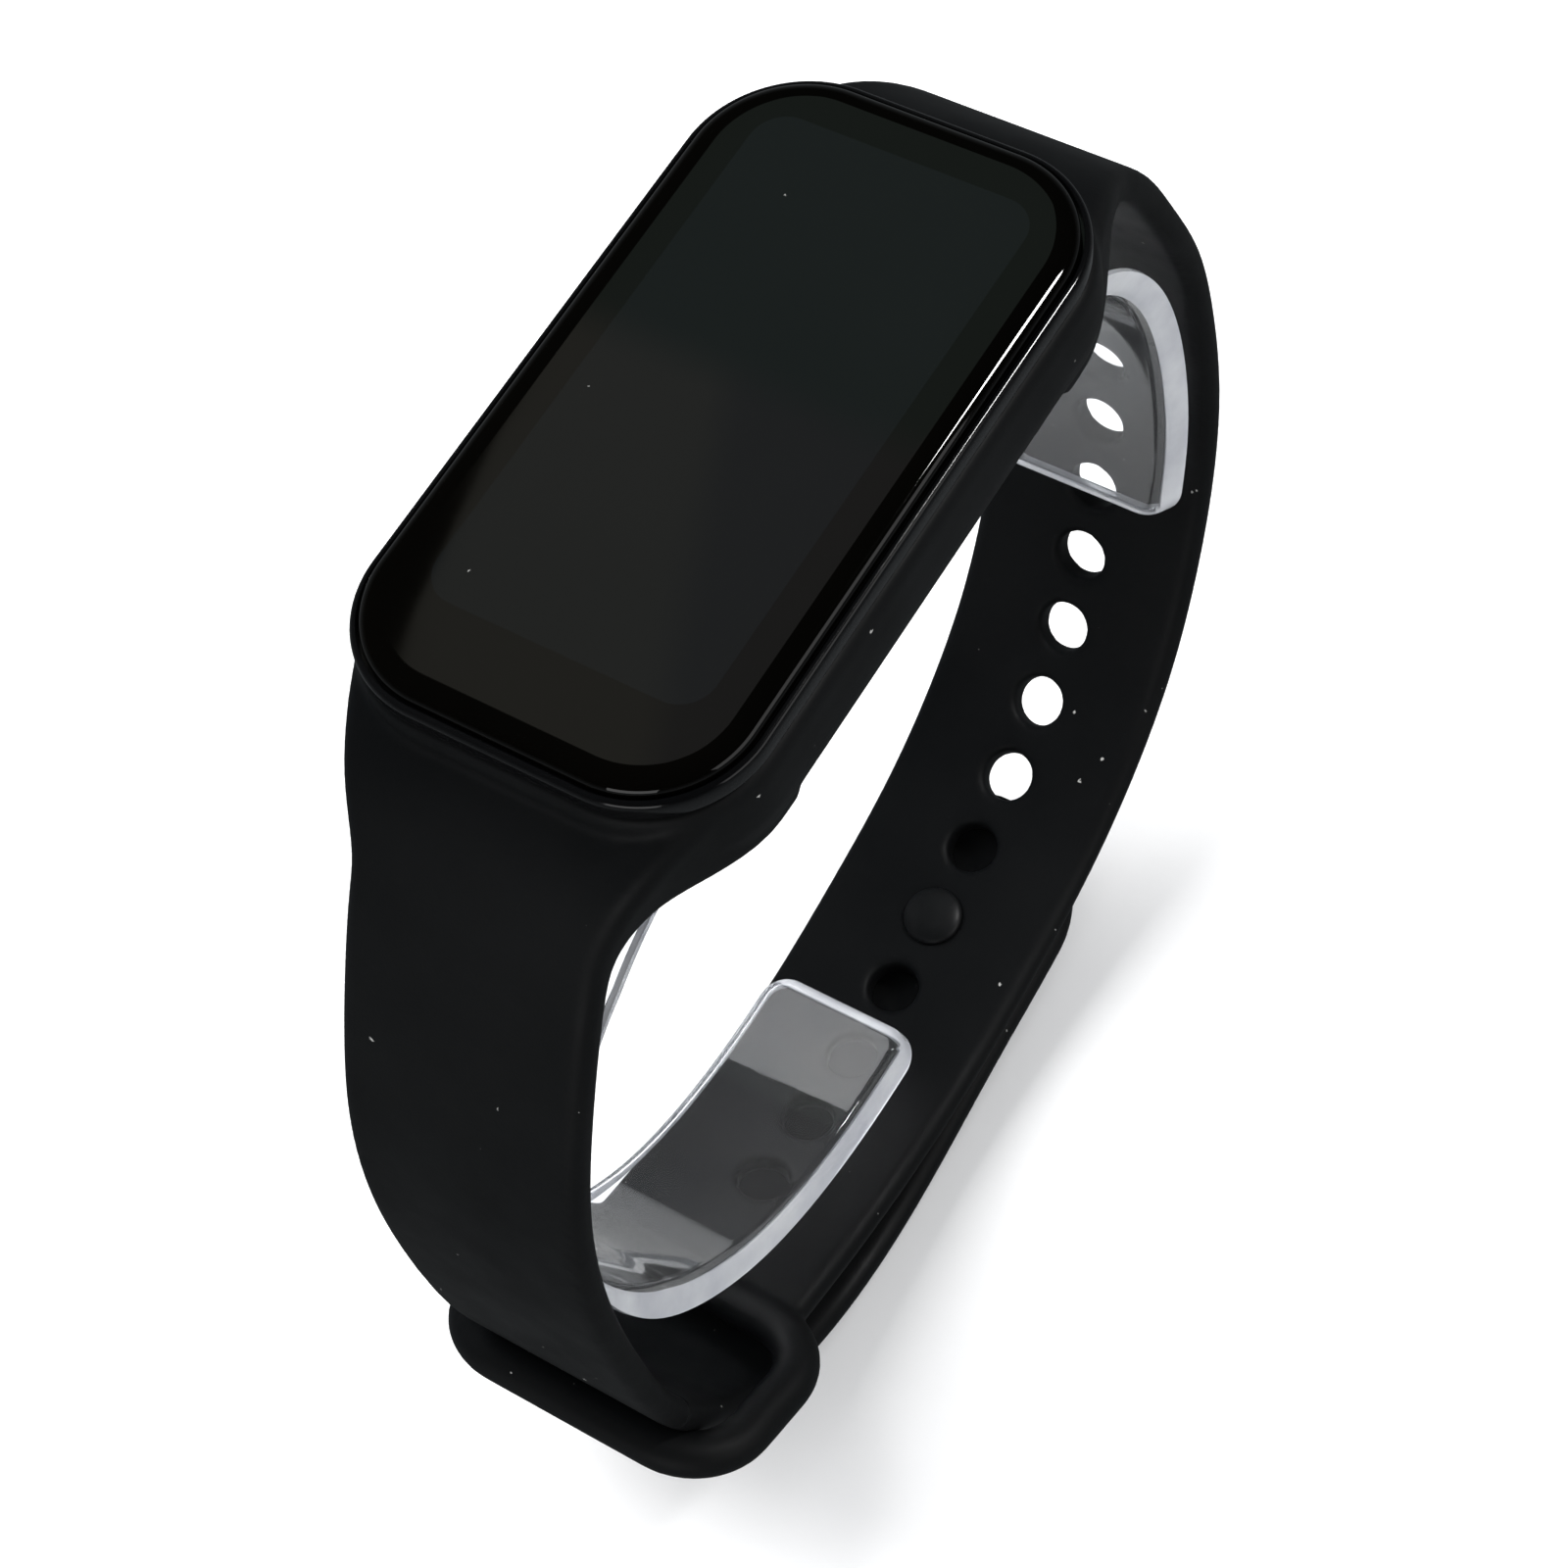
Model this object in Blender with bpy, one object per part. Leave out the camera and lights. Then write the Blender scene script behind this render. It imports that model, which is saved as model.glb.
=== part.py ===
"""Fitness tracker band: display capsule in a silicone strap, closed round a clear packaging former.

Units are metres, +Z points out of the display, +X runs along the display towards the perforated
strap end and +Y is the width of the strap.  Shapes are laid out in millimetres from the centre of
the glass and placed so that the whole band stands on Z = 0, centred on the world origin.
"""
import math

import bmesh
import bpy
import numpy as np
from mathutils import Vector

MM = 0.001

# ---------------------------------------------------------------- driving dimensions (millimetres)

# where the centre of the glass sits in the world
GLASS_CENTRE = (1.03, 0.0, 73.81)

# strap
STRAP_HALF_WIDTH = 8.1
STRAP_THICKNESS = 2.0
STRAP_EDGE_RADIUS = 0.85
ROOT_HALF_WIDTH = 12.2
ROOT_THICKNESS = 6.8
TAPER_START = 1.5
TAPER_END = 15.5
SEAM_LENGTH = 17.5
SEAM_GAP = 0.06
LAYER_GAP = 0.4
STEP_ALONG = 2.2

# middle line of the perforated strap, from inside the cradle round to the ring
HOLE_LINE = [
    (14.0, -5.8), (19.5, -5.8), (24.7, -6.6), (29.0, -10.0), (32.0, -16.1), (34.4, -23.0),
    (35.4, -31.0), (35.2, -38.5), (33.4, -46.0), (30.4, -52.6), (26.0, -58.8), (20.5, -63.2),
    (13.5, -66.4), (6.0, -68.0), (-2.0, -68.9), (-10.0, -68.6), (-17.5, -67.3), (-25.0, -65.2),
]
# middle line of the stud strap, from inside the cradle round to its free tip
STUD_LINE = [
    (-14.0, -5.8), (-19.5, -5.8), (-24.2, -6.6), (-27.9, -9.9), (-30.6, -14.6), (-33.0, -19.8),
    (-35.1, -25.6), (-36.3, -31.8), (-36.7, -38.5), (-36.5, -46.0), (-35.8, -53.0),
    (-34.0, -59.7), (-30.6, -65.3), (-25.7, -69.4), (-19.3, -72.1), (-12.5, -72.8),
]
# from there on it lies outside the perforated strap, at these distances along that strap
OVERLAP = [97.0, 91.0, 85.0, 79.0, 75.0]
TIP_END = 80.8
TIP_HINGE_X = -10.0

# adjustment holes
HOLE_COUNT = 13
HOLE_FIRST = 45.2
HOLE_PITCH = 5.7
HOLE_RADIUS = 1.75
STUD_HOLE = 8

# ring at the end of the perforated strap
RING_ROOT = (-24.8, -65.3)
RING_BAR = (-37.0, -60.3)
RING_HALF_WIDTH = 10.2
RING_CORNER = 4.2
RING_BAR_WIDE = 1.55
RING_BAR_THICK = 1.45

# stud, measured along its own axis from the middle of the tip
STUD_NECK_RADIUS = 1.25
STUD_HEAD_RADIUS = 1.4
STUD_CAP_RADIUS = 2.4

# cradle
CRADLE_HALF = (22.9, 12.7)
CRADLE_CORNER = 7.4
CRADLE_TOP = -2.25
CRADLE_BOTTOM = -9.5
POCKET_HALF = (22.05, 11.75)
POCKET_CORNER = 6.4
POCKET_FLOOR = -8.45
WINDOW_HALF = (18.4, 9.2)
WINDOW_CORNER = 4.2

# capsule
BEZEL_HALF = (22.65, 12.45)
BEZEL_CORNER = 7.1
GLASS_HALF = (22.05, 11.85)
GLASS_CORNER = 6.5
BODY_HALF = (21.8, 11.5)
BODY_CORNER = 6.2
BOSS_HALF = (18.1, 8.9)
BOSS_CORNER = 4.0
BACK_FACE = -9.65

# vibration motor
MOTOR_AT = (-13.6, 4.4)
MOTOR_RADIUS = 3.6

# clear former inside the loop: a raised sheet with a lip along both edges
FORMER_HALF_WIDTH = 6.6
FORMER_END_HALF_WIDTH = 5.6
FORMER_NARROWING = (88.0, 118.0)
FORMER_SHEET = 0.45
FORMER_DEPTH = 2.0
FORMER_LIP_WIDE = 0.5
FORMER_LINE = [
    (31.1, -47.2), (33.1, -41.3), (33.8, -35.3), (33.4, -28.8), (31.5, -22.4), (27.7, -17.0),
    (22.0, -13.4), (14.0, -12.1), (0.0, -11.85), (-14.0, -12.1), (-21.8, -13.5), (-27.3, -17.4),
    (-31.2, -23.2), (-33.9, -29.8), (-34.9, -37.0), (-34.0, -44.0), (-31.5, -50.3),
    (-27.5, -55.5), (-22.5, -59.4), (-16.5, -61.9), (-10.0, -63.0), (-4.0, -63.1),
]


# ---------------------------------------------------------------- scene, materials and meshes

def clear_scene():
    for obj in list(bpy.data.objects):
        bpy.data.objects.remove(obj, do_unlink=True)


def give_material(obj, colour, roughness, metallic=0.0, transmission=0.0):
    material = bpy.data.materials.new("mat_" + obj.name)
    material.use_nodes = True
    shader = material.node_tree.nodes["Principled BSDF"]
    shader.inputs["Base Color"].default_value = (*colour, 1.0)
    shader.inputs["Roughness"].default_value = roughness
    shader.inputs["Metallic"].default_value = metallic
    shader.inputs["Transmission Weight"].default_value = transmission
    obj.data.materials.clear()
    obj.data.materials.append(material)


def build_object(name, points, faces, pivot=(0.0, 0.0, 0.0), smooth=True):
    """Make a mesh object from points in millimetres from the glass centre."""
    pivot = Vector(pivot)
    mesh = bpy.data.meshes.new(name)
    mesh.from_pydata([(Vector(point) - pivot) * MM for point in points], [], faces)
    body = bmesh.new()
    body.from_mesh(mesh)
    bmesh.ops.recalc_face_normals(body, faces=body.faces)
    body.to_mesh(mesh)
    body.free()
    shade(mesh, smooth)
    obj = bpy.data.objects.new(name, mesh)
    obj.location = (Vector(GLASS_CENTRE) + pivot) * MM
    bpy.context.scene.collection.objects.link(obj)
    return obj


def shade(mesh, smooth):
    for polygon in mesh.polygons:
        polygon.use_smooth = smooth
    if smooth:
        mesh.set_sharp_from_angle(angle=math.radians(32.0))


def combine(target, others, operation):
    """Boolean the other objects into the target and remove them."""
    for other in others:
        modifier = target.modifiers.new(operation.lower(), "BOOLEAN")
        modifier.operation = operation
        modifier.solver = "EXACT"
        modifier.object = other
        other.hide_render = True
        other.display_type = "WIRE"
    bpy.context.view_layer.update()
    depsgraph = bpy.context.evaluated_depsgraph_get()
    solid = bpy.data.meshes.new_from_object(target.evaluated_get(depsgraph))
    target.modifiers.clear()
    target.data = solid
    shade(solid, True)
    for other in others:
        bpy.data.objects.remove(other, do_unlink=True)


def bridge(rings, closed=False):
    """Points and quad faces joining equal rings of points, capped unless the run is closed."""
    size = len(rings[0])
    points = [point for ring in rings for point in ring]
    faces = []
    runs = len(rings) if closed else len(rings) - 1
    for k in range(runs):
        here = k * size
        there = ((k + 1) % len(rings)) * size
        for j in range(size):
            nxt = (j + 1) % size
            faces.append((here + j, here + nxt, there + nxt, there + j))
    if not closed:
        faces.append(tuple(range(size)))
        faces.append(tuple(range(len(points) - size, len(points))))
    return points, faces


# ---------------------------------------------------------------- basic shapes

def rounded_rectangle(half_x, half_y, corner, steps=8):
    """Outline of a rectangle with round corners, counter-clockwise."""
    corner = max(corner, 0.05)
    outline = []
    for k, (side_x, side_y) in enumerate(((1, 1), (-1, 1), (-1, -1), (1, -1))):
        centre_x = side_x * (half_x - corner)
        centre_y = side_y * (half_y - corner)
        for j in range(steps + 1):
            angle = math.radians(90.0 * (k + j / steps))
            outline.append((centre_x + corner * math.cos(angle),
                            centre_y + corner * math.sin(angle)))
    return outline


def layer(half, corner, inset, z, centre=(0.0, 0.0), steps=8):
    outline = rounded_rectangle(half[0] - inset, half[1] - inset, corner - inset, steps)
    return [(centre[0] + x, centre[1] + y, z) for x, y in outline]


def stack(name, half, corner, levels, centre=(0.0, 0.0), steps=8, smooth=True):
    """Solid built up from (inset, z) levels of one rounded rectangle."""
    rings = [layer(half, corner, inset, z, centre, steps) for inset, z in levels]
    return build_object(name, *bridge(rings), smooth=smooth)


def band(name, half, corner, profile, steps=8):
    """Closed frame: a profile of (inset, z) points carried round one rounded rectangle."""
    rings = [layer(half, corner, inset, z, (0.0, 0.0), steps) for inset, z in profile]
    return build_object(name, *bridge(rings, closed=True))


def block(name, centre, half, z_low, z_high, corner=0.3):
    levels = [(0.0, z_low), (0.0, z_high)]
    return stack(name, half, corner, levels, centre, steps=3, smooth=False)


def turned(name, profile, origin, axis, segments=28, pivot=None):
    """Solid of revolution: (radius, height) points turned about an axis in the XZ plane."""
    axis = Vector(axis).normalized()
    side = Vector((0.0, 1.0, 0.0))
    across = axis.cross(side)
    rings = []
    for radius, height in profile:
        centre = Vector(origin) + axis * height
        ring = []
        for j in range(segments):
            angle = 2.0 * math.pi * j / segments
            ring.append(centre + (side * math.cos(angle) + across * math.sin(angle)) * radius)
        rings.append(ring)
    points, faces = bridge(rings)
    return build_object(name, points, faces, pivot=pivot or (0.0, 0.0, 0.0))


# ---------------------------------------------------------------- curved strap lines

def smooth_line(controls, spacing):
    """Evenly spaced (x, z) points on the natural cubic spline through the control points."""
    controls = np.array(controls, dtype=float)
    knots = np.concatenate(([0.0], np.cumsum(np.linalg.norm(np.diff(controls, axis=0), axis=1))))
    steps = np.diff(knots)
    count = len(knots)
    system = np.eye(count)
    right = np.zeros_like(controls)
    for k in range(1, count - 1):
        system[k, k - 1:k + 2] = (steps[k - 1], 2.0 * (steps[k - 1] + steps[k]), steps[k])
        slope_after = (controls[k + 1] - controls[k]) / steps[k]
        slope_before = (controls[k] - controls[k - 1]) / steps[k - 1]
        right[k] = 6.0 * (slope_after - slope_before)
    bend = np.linalg.solve(system, right)
    line = []
    for position in np.linspace(0.0, knots[-1], 1200):
        k = min(int(np.searchsorted(knots, position, side="right")) - 1, count - 2)
        before = (knots[k + 1] - position) / steps[k]
        after = (position - knots[k]) / steps[k]
        curve = (before ** 3 - before) * bend[k] + (after ** 3 - after) * bend[k + 1]
        line.append(before * controls[k] + after * controls[k + 1] + curve * steps[k] ** 2 / 6.0)
    return even_line(np.array(line), spacing)


def even_line(line, spacing):
    travel = travel_along(line)
    count = max(int(round(travel[-1] / spacing)), 2)
    wanted = np.linspace(0.0, travel[-1], count + 1)
    return np.column_stack([np.interp(wanted, travel, line[:, k]) for k in (0, 1)])


def travel_along(line):
    return np.concatenate(([0.0], np.cumsum(np.linalg.norm(np.diff(line, axis=0), axis=1))))


def station(line, distance, side):
    """Position, direction and outward normal at a distance along a line."""
    travel = travel_along(line)
    reach = 0.4
    at = [np.interp(distance + shift, travel, line[:, k]) for shift in (-reach, 0.0, reach)
          for k in (0, 1)]
    position = np.array(at[2:4])
    direction = np.array(at[4:6]) - np.array(at[0:2])
    direction = direction / np.linalg.norm(direction)
    outward = np.array((-direction[1], direction[0])) * side
    return position, direction, outward


def taper(distance):
    """1 at the cradle, 0 where the strap has reached its plain width."""
    share = (distance - TAPER_START) / (TAPER_END - TAPER_START)
    share = min(max(share, 0.0), 1.0)
    return 1.0 - share * share * (3.0 - 2.0 * share)


def strap_width(distance):
    return STRAP_HALF_WIDTH + (ROOT_HALF_WIDTH - STRAP_HALF_WIDTH) * taper(distance)


def strap_thickness(distance):
    return STRAP_THICKNESS + (ROOT_THICKNESS - STRAP_THICKNESS) * taper(distance - 2.0)


def strap_section(line, distance, side, half_width, thickness):
    """Rounded cross-section of the strap standing square to its middle line."""
    position, _, outward = station(line, distance, side)
    corner = min(STRAP_EDGE_RADIUS, 0.95 * half_width, 0.47 * thickness)
    outline = rounded_rectangle(half_width, thickness / 2.0, corner, steps=3)
    return [(position[0] + outward[0] * rise, across, position[1] + outward[1] * rise)
            for across, rise in outline]


def strap_length(name, line, side, start, end, width_at, pivot=(0.0, 0.0, 0.0)):
    count = max(int(round((end - start) / STEP_ALONG)), 2)
    distances = list(np.linspace(start, end, count + 1))
    return sweep_strap(name, line, side, distances, width_at, pivot)


def sweep_strap(name, line, side, distances, width_at, pivot=(0.0, 0.0, 0.0)):
    rings = [strap_section(line, distance, side, width_at(distance), strap_thickness(distance))
             for distance in distances]
    points, faces = bridge(rings)
    return build_object(name, points, faces, pivot=pivot)


def hole_line():
    return smooth_line(HOLE_LINE, 0.5)


def stud_line():
    """Stud strap: its own curve first, then an even layer outside the perforated strap."""
    inner = hole_line()
    offset = STRAP_THICKNESS + LAYER_GAP
    follow = []
    for distance in OVERLAP:
        position, _, outward = station(inner, distance, 1.0)
        follow.append(tuple(position + outward * offset))
    return smooth_line(STUD_LINE + follow, 0.5)


def stud_centre():
    """Middle of the adjustment hole in use and the direction pointing into the loop."""
    position, _, outward = station(hole_line(), HOLE_FIRST + STUD_HOLE * HOLE_PITCH, 1.0)
    inward = -outward
    middle = position + outward * (STRAP_THICKNESS + LAYER_GAP)
    return (middle[0], 0.0, middle[1]), (inward[0], 0.0, inward[1])


def nearest_travel(line, point):
    gaps = np.linalg.norm(line - np.array(point), axis=1)
    return float(travel_along(line)[int(np.argmin(gaps))])


def tip_hinge():
    """Travel of the tip seam along the stud strap and the hinge point on its outer skin."""
    line = stud_line()
    later_half = line[len(line) // 2:]
    seam = later_half[int(np.argmin(np.abs(later_half[:, 0] - TIP_HINGE_X)))]
    travel = nearest_travel(line, seam)
    position, _, normal = station(line, travel, -1.0)
    hinge = position + normal * STRAP_THICKNESS / 2.0
    return travel, (hinge[0], 0.0, hinge[1])


# ---------------------------------------------------------------- strap pieces

def build_cradle():
    levels = [
        (3.2, CRADLE_BOTTOM), (2.2, -9.3), (1.1, -8.6), (0.35, -7.5), (0.05, -6.2), (0.0, -5.0),
        (0.0, -3.1), (0.12, -2.55), (0.45, CRADLE_TOP),
    ]
    cradle = stack("strap_cradle", CRADLE_HALF, CRADLE_CORNER, levels)
    end = SEAM_LENGTH - SEAM_GAP / 2.0
    roots = [
        strap_length("root_plus", hole_line(), 1.0, 0.0, end, strap_width),
        strap_length("root_minus", stud_line(), -1.0, 0.0, end, strap_width),
    ]
    combine(cradle, roots, "UNION")
    pocket = stack("pocket", POCKET_HALF, POCKET_CORNER, [(0.0, POCKET_FLOOR), (0.0, 3.0)])
    window = stack("window", WINDOW_HALF, WINDOW_CORNER, [(0.0, -13.0), (0.0, -6.0)])
    combine(cradle, [pocket, window], "DIFFERENCE")
    give_material(cradle, (0.022, 0.022, 0.024), 0.62)


def ring_loop():
    """Tube rings of the end ring: four sides with round corners, elliptical in section."""
    root = np.array(RING_ROOT)
    along = np.array(RING_BAR) - root
    reach = float(np.linalg.norm(along))
    along = along / reach
    normal = np.array((-along[1], along[0]))
    outline = rounded_rectangle(reach / 2.0, RING_HALF_WIDTH, RING_CORNER, steps=6)
    rings = []
    count = len(outline)
    for k, (u, v) in enumerate(outline):
        before = np.array(outline[k - 1])
        after = np.array(outline[(k + 1) % count])
        direction = (after - before) / np.linalg.norm(after - before)
        outside = np.array((direction[1], -direction[0]))
        ring = []
        for j in range(16):
            angle = 2.0 * math.pi * j / 16
            wide = RING_BAR_WIDE * math.cos(angle)
            thick = RING_BAR_THICK * math.sin(angle)
            place = root + along * (reach / 2.0 + u + outside[0] * wide) + normal * thick
            ring.append((place[0], v + outside[1] * wide, place[1]))
        rings.append(ring)
    return rings


def build_hole_strap():
    line = hole_line()
    start = SEAM_LENGTH + SEAM_GAP / 2.0
    end = travel_along(line)[-1]
    strap = strap_length("strap_hole_side", line, 1.0, start, end, strap_width)
    ring = build_object("ring", *bridge(ring_loop(), closed=True))
    combine(strap, [ring], "UNION")
    cutters = []
    for k in range(HOLE_COUNT):
        position, _, outward = station(line, HOLE_FIRST + k * HOLE_PITCH, 1.0)
        profile = [(HOLE_RADIUS + 1.2, -3.0), (HOLE_RADIUS + 0.2, -1.02), (HOLE_RADIUS, -0.7),
                   (HOLE_RADIUS, 0.7), (HOLE_RADIUS + 0.2, 1.02), (HOLE_RADIUS + 1.2, 3.0)]
        cutters.append(turned("hole", profile, (position[0], 0.0, position[1]),
                              (outward[0], 0.0, outward[1]), segments=20))
    combine(strap, cutters, "DIFFERENCE")
    give_material(strap, (0.022, 0.022, 0.024), 0.62)


def build_stud_strap():
    line = stud_line()
    seam, _ = tip_hinge()
    start = SEAM_LENGTH + SEAM_GAP / 2.0
    strap = strap_length("strap_stud_side", line, -1.0, start, seam - SEAM_GAP, strap_width)
    give_material(strap, (0.022, 0.022, 0.024), 0.62)


def build_tip():
    line = stud_line()
    seam, hinge = tip_hinge()
    end_point, _, outward = station(hole_line(), TIP_END, 1.0)
    end = nearest_travel(line, end_point + outward * (STRAP_THICKNESS + LAYER_GAP))

    def tip_width(distance):
        past = distance - (end - STRAP_HALF_WIDTH)
        if past <= 0.0:
            return STRAP_HALF_WIDTH
        return max(math.sqrt(max(STRAP_HALF_WIDTH ** 2 - past ** 2, 0.0)), 1.2)

    distances = list(np.linspace(seam, end - STRAP_HALF_WIDTH, 10))
    for k in range(1, 11):
        distances.append(end - STRAP_HALF_WIDTH * (1.0 - math.sin(math.radians(9.0 * k))))
    tip = sweep_strap("strap_tip", line, -1.0, distances, tip_width, pivot=hinge)
    middle, inward = stud_centre()
    profile = [(STUD_NECK_RADIUS + 0.04, -2.0), (STUD_NECK_RADIUS + 0.04, 2.0)]
    combine(tip, [turned("stud_hole", profile, middle, inward)], "DIFFERENCE")
    give_material(tip, (0.022, 0.022, 0.024), 0.62)


def build_stud():
    middle, inward = stud_centre()
    _, hinge = tip_hinge()
    skin = STRAP_THICKNESS / 2.0
    profile = [
        (STUD_CAP_RADIUS - 0.5, -skin - 0.55), (STUD_CAP_RADIUS - 0.1, -skin - 0.42),
        (STUD_CAP_RADIUS, -skin - 0.2), (STUD_CAP_RADIUS, -skin - 0.03),
        (STUD_NECK_RADIUS, -skin - 0.03), (STUD_NECK_RADIUS, skin + 0.5),
        (STUD_HEAD_RADIUS, skin + 0.8), (STUD_HEAD_RADIUS, skin + 1.7),
        (STUD_HEAD_RADIUS - 0.2, skin + 2.1), (STUD_HEAD_RADIUS - 0.7, skin + 2.4),
    ]
    stud = turned("clasp_stud", profile, middle, inward, pivot=hinge)
    give_material(stud, (0.05, 0.05, 0.055), 0.35)


# ---------------------------------------------------------------- capsule: face and case

def build_glass():
    levels = [(0.12, -1.0), (0.0, -0.9), (0.0, -0.72), (0.08, -0.46), (0.3, -0.22), (0.7, -0.06),
              (1.3, 0.0)]
    glass = stack("cover_glass", GLASS_HALF, GLASS_CORNER, levels, steps=10)
    give_material(glass, (0.012, 0.013, 0.014), 0.06)


def build_glass_seal():
    profile = [(0.8, -1.28), (0.8, -1.03), (2.1, -1.03), (2.1, -1.28)]
    seal = band("glass_seal", BEZEL_HALF, BEZEL_CORNER, profile)
    give_material(seal, (0.03, 0.03, 0.03), 0.7)


def build_bezel():
    profile = [
        (0.06, -0.84), (0.2, -0.75), (0.4, -0.75), (0.42, -1.32), (2.4, -1.32), (2.4, -1.9),
        (1.75, -1.9), (1.75, -3.4), (0.85, -3.4), (0.85, -2.19), (0.15, -2.19), (0.0, -1.95),
        (0.0, -1.02),
    ]
    bezel = band("bezel_frame", BEZEL_HALF, BEZEL_CORNER, profile, steps=10)
    give_material(bezel, (0.02, 0.021, 0.023), 0.22)


def build_housing():
    profile = [(0.0, -3.45), (0.0, -7.68), (0.9, -7.68), (0.9, -5.0), (1.8, -5.0), (1.8, -4.6),
               (0.9, -4.6), (0.9, -3.45)]
    housing = band("housing_shell", BODY_HALF, BODY_CORNER, profile)
    give_material(housing, (0.03, 0.03, 0.032), 0.45)


def build_back_seal():
    profile = [(0.1, -7.92), (0.1, -7.7), (0.8, -7.7), (0.8, -7.92)]
    seal = band("back_seal", BODY_HALF, BODY_CORNER, profile)
    give_material(seal, (0.3, 0.05, 0.04), 0.6)


def build_back_cover():
    cover = stack("back_cover", BODY_HALF, BODY_CORNER, [(0.15, -8.36), (0.0, -8.25), (0.0, -7.94)])
    boss = stack("boss", BOSS_HALF, BOSS_CORNER, [(0.35, BACK_FACE), (0.0, -9.35), (0.0, -8.1)])
    combine(cover, [boss], "UNION")
    cutters = [
        stack("hollow", (16.0, 8.0), 3.2, [(0.0, -8.95), (0.0, -7.0)]),
        stack("eye", (4.0, 3.2), 3.1, [(0.0, -10.5), (0.0, -8.0)]),
    ]
    for side in (-1.0, 1.0):
        profile = [(1.2, -10.5), (1.2, -8.0)]
        cutters.append(turned("pin_hole", profile, (13.0, 3.2 * side, 0.0), (0.0, 0.0, 1.0)))
    combine(cover, cutters, "DIFFERENCE")
    give_material(cover, (0.03, 0.03, 0.033), 0.4)


def build_sensor():
    window = stack("sensor_window", (3.95, 3.15), 3.05, [(0.1, -9.63), (0.0, -9.5), (0.0, -8.97)])
    give_material(window, (0.01, 0.012, 0.012), 0.08)
    board = block("sensor_board", (0.0, 0.0), (6.4, 4.6), -8.02, -7.62, corner=0.8)
    give_material(board, (0.02, 0.09, 0.05), 0.5)
    for name, across in (("sensor_led_a", -2.2), ("sensor_led_b", 2.2)):
        led = block(name, (across, 0.0), (0.5, 0.8), -8.7, -8.04, corner=0.1)
        give_material(led, (0.25, 0.7, 0.3), 0.3)
    diode = block("photodiode", (0.0, 0.0), (1.0, 1.1), -8.6, -8.04, corner=0.1)
    give_material(diode, (0.04, 0.04, 0.06), 0.25)


def build_contacts():
    for name, side in (("charge_contact_a", -1.0), ("charge_contact_b", 1.0)):
        profile = [(1.0, BACK_FACE + 0.02), (1.1, BACK_FACE + 0.12), (1.1, -8.93), (1.7, -8.93),
                   (1.7, -8.6), (0.8, -8.6), (0.8, -7.7)]
        contact = turned(name, profile, (13.0, 3.2 * side, 0.0), (0.0, 0.0, 1.0), segments=24)
        give_material(contact, (0.75, 0.62, 0.36), 0.25, metallic=1.0)


# ---------------------------------------------------------------- capsule: inside

def build_display():
    panel = stack("display_panel", (19.3, 9.4), 2.4, [(0.0, -2.26), (0.0, -1.06)])
    give_material(panel, (0.02, 0.025, 0.03), 0.15)
    chip = block("display_driver", (-14.5, 0.0), (0.7, 5.5), -3.0, -2.55, corner=0.1)
    give_material(chip, (0.02, 0.02, 0.02), 0.3)
    bend = [(-19.2 - 0.66 * math.sin(angle), -3.08 + 0.66 * math.cos(angle))
            for angle in np.linspace(0.0, math.pi, 13)]
    ribbon_line = even_line(np.array([(-13.0, -2.42)] + bend + [(-13.5, -3.74)]), 0.2)
    rings = []
    for distance in np.arange(0.0, travel_along(ribbon_line)[-1], 0.45):
        position, _, outward = station(ribbon_line, distance, 1.0)
        ring = []
        for across, rise in ((4.0, 0.06), (-4.0, 0.06), (-4.0, -0.06), (4.0, -0.06)):
            ring.append((position[0] + outward[0] * rise, across, position[1] + outward[1] * rise))
        rings.append(ring)
    ribbon = build_object("display_flex", *bridge(rings))
    give_material(ribbon, (0.55, 0.3, 0.06), 0.4)


def build_board():
    board = stack("main_board", (20.4, 10.3), 5.0, [(0.0, -4.55), (0.0, -3.95)], smooth=False)
    give_material(board, (0.015, 0.08, 0.045), 0.5)
    processor = block("processor_chip", (-1.0, 0.0), (3.0, 3.0), -3.93, -3.2, corner=0.1)
    give_material(processor, (0.02, 0.02, 0.022), 0.35)
    memory = block("memory_chip", (5.2, 0.0), (2.0, 2.6), -3.93, -3.3, corner=0.1)
    give_material(memory, (0.025, 0.025, 0.025), 0.35)
    accelerometer = block("accelerometer_chip", (12.0, -3.0), (1.0, 1.0), -3.93, -3.2, corner=0.1)
    give_material(accelerometer, (0.03, 0.03, 0.035), 0.35)
    antenna = block("antenna_strip", (0.0, 9.4), (13.0, 0.45), -3.93, -3.45, corner=0.1)
    give_material(antenna, (0.75, 0.45, 0.25), 0.3, metallic=1.0)


def build_shield():
    shield = stack("shield_can", (6.3, 5.0), 0.6, [(0.0, -3.92), (0.0, -2.7)], centre=(2.0, 0.0),
                   steps=3)
    hollow = stack("hollow", (6.1, 4.8), 0.4, [(0.0, -5.0), (0.0, -2.9)], centre=(2.0, 0.0),
                   steps=3)
    combine(shield, [hollow], "DIFFERENCE")
    give_material(shield, (0.6, 0.6, 0.58), 0.35, metallic=1.0)


def build_battery():
    levels = [(0.5, -7.3), (0.0, -6.9), (0.0, -5.2), (0.5, -4.82)]
    battery = stack("battery_pouch", (12.0, 8.4), 1.2, levels, centre=(5.0, 0.0), steps=4)
    give_material(battery, (0.55, 0.56, 0.58), 0.3, metallic=0.8)
    pad = block("battery_pad", (5.0, 0.0), (10.0, 6.0), -4.78, -4.6, corner=0.5)
    give_material(pad, (0.85, 0.85, 0.8), 0.8)


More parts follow.
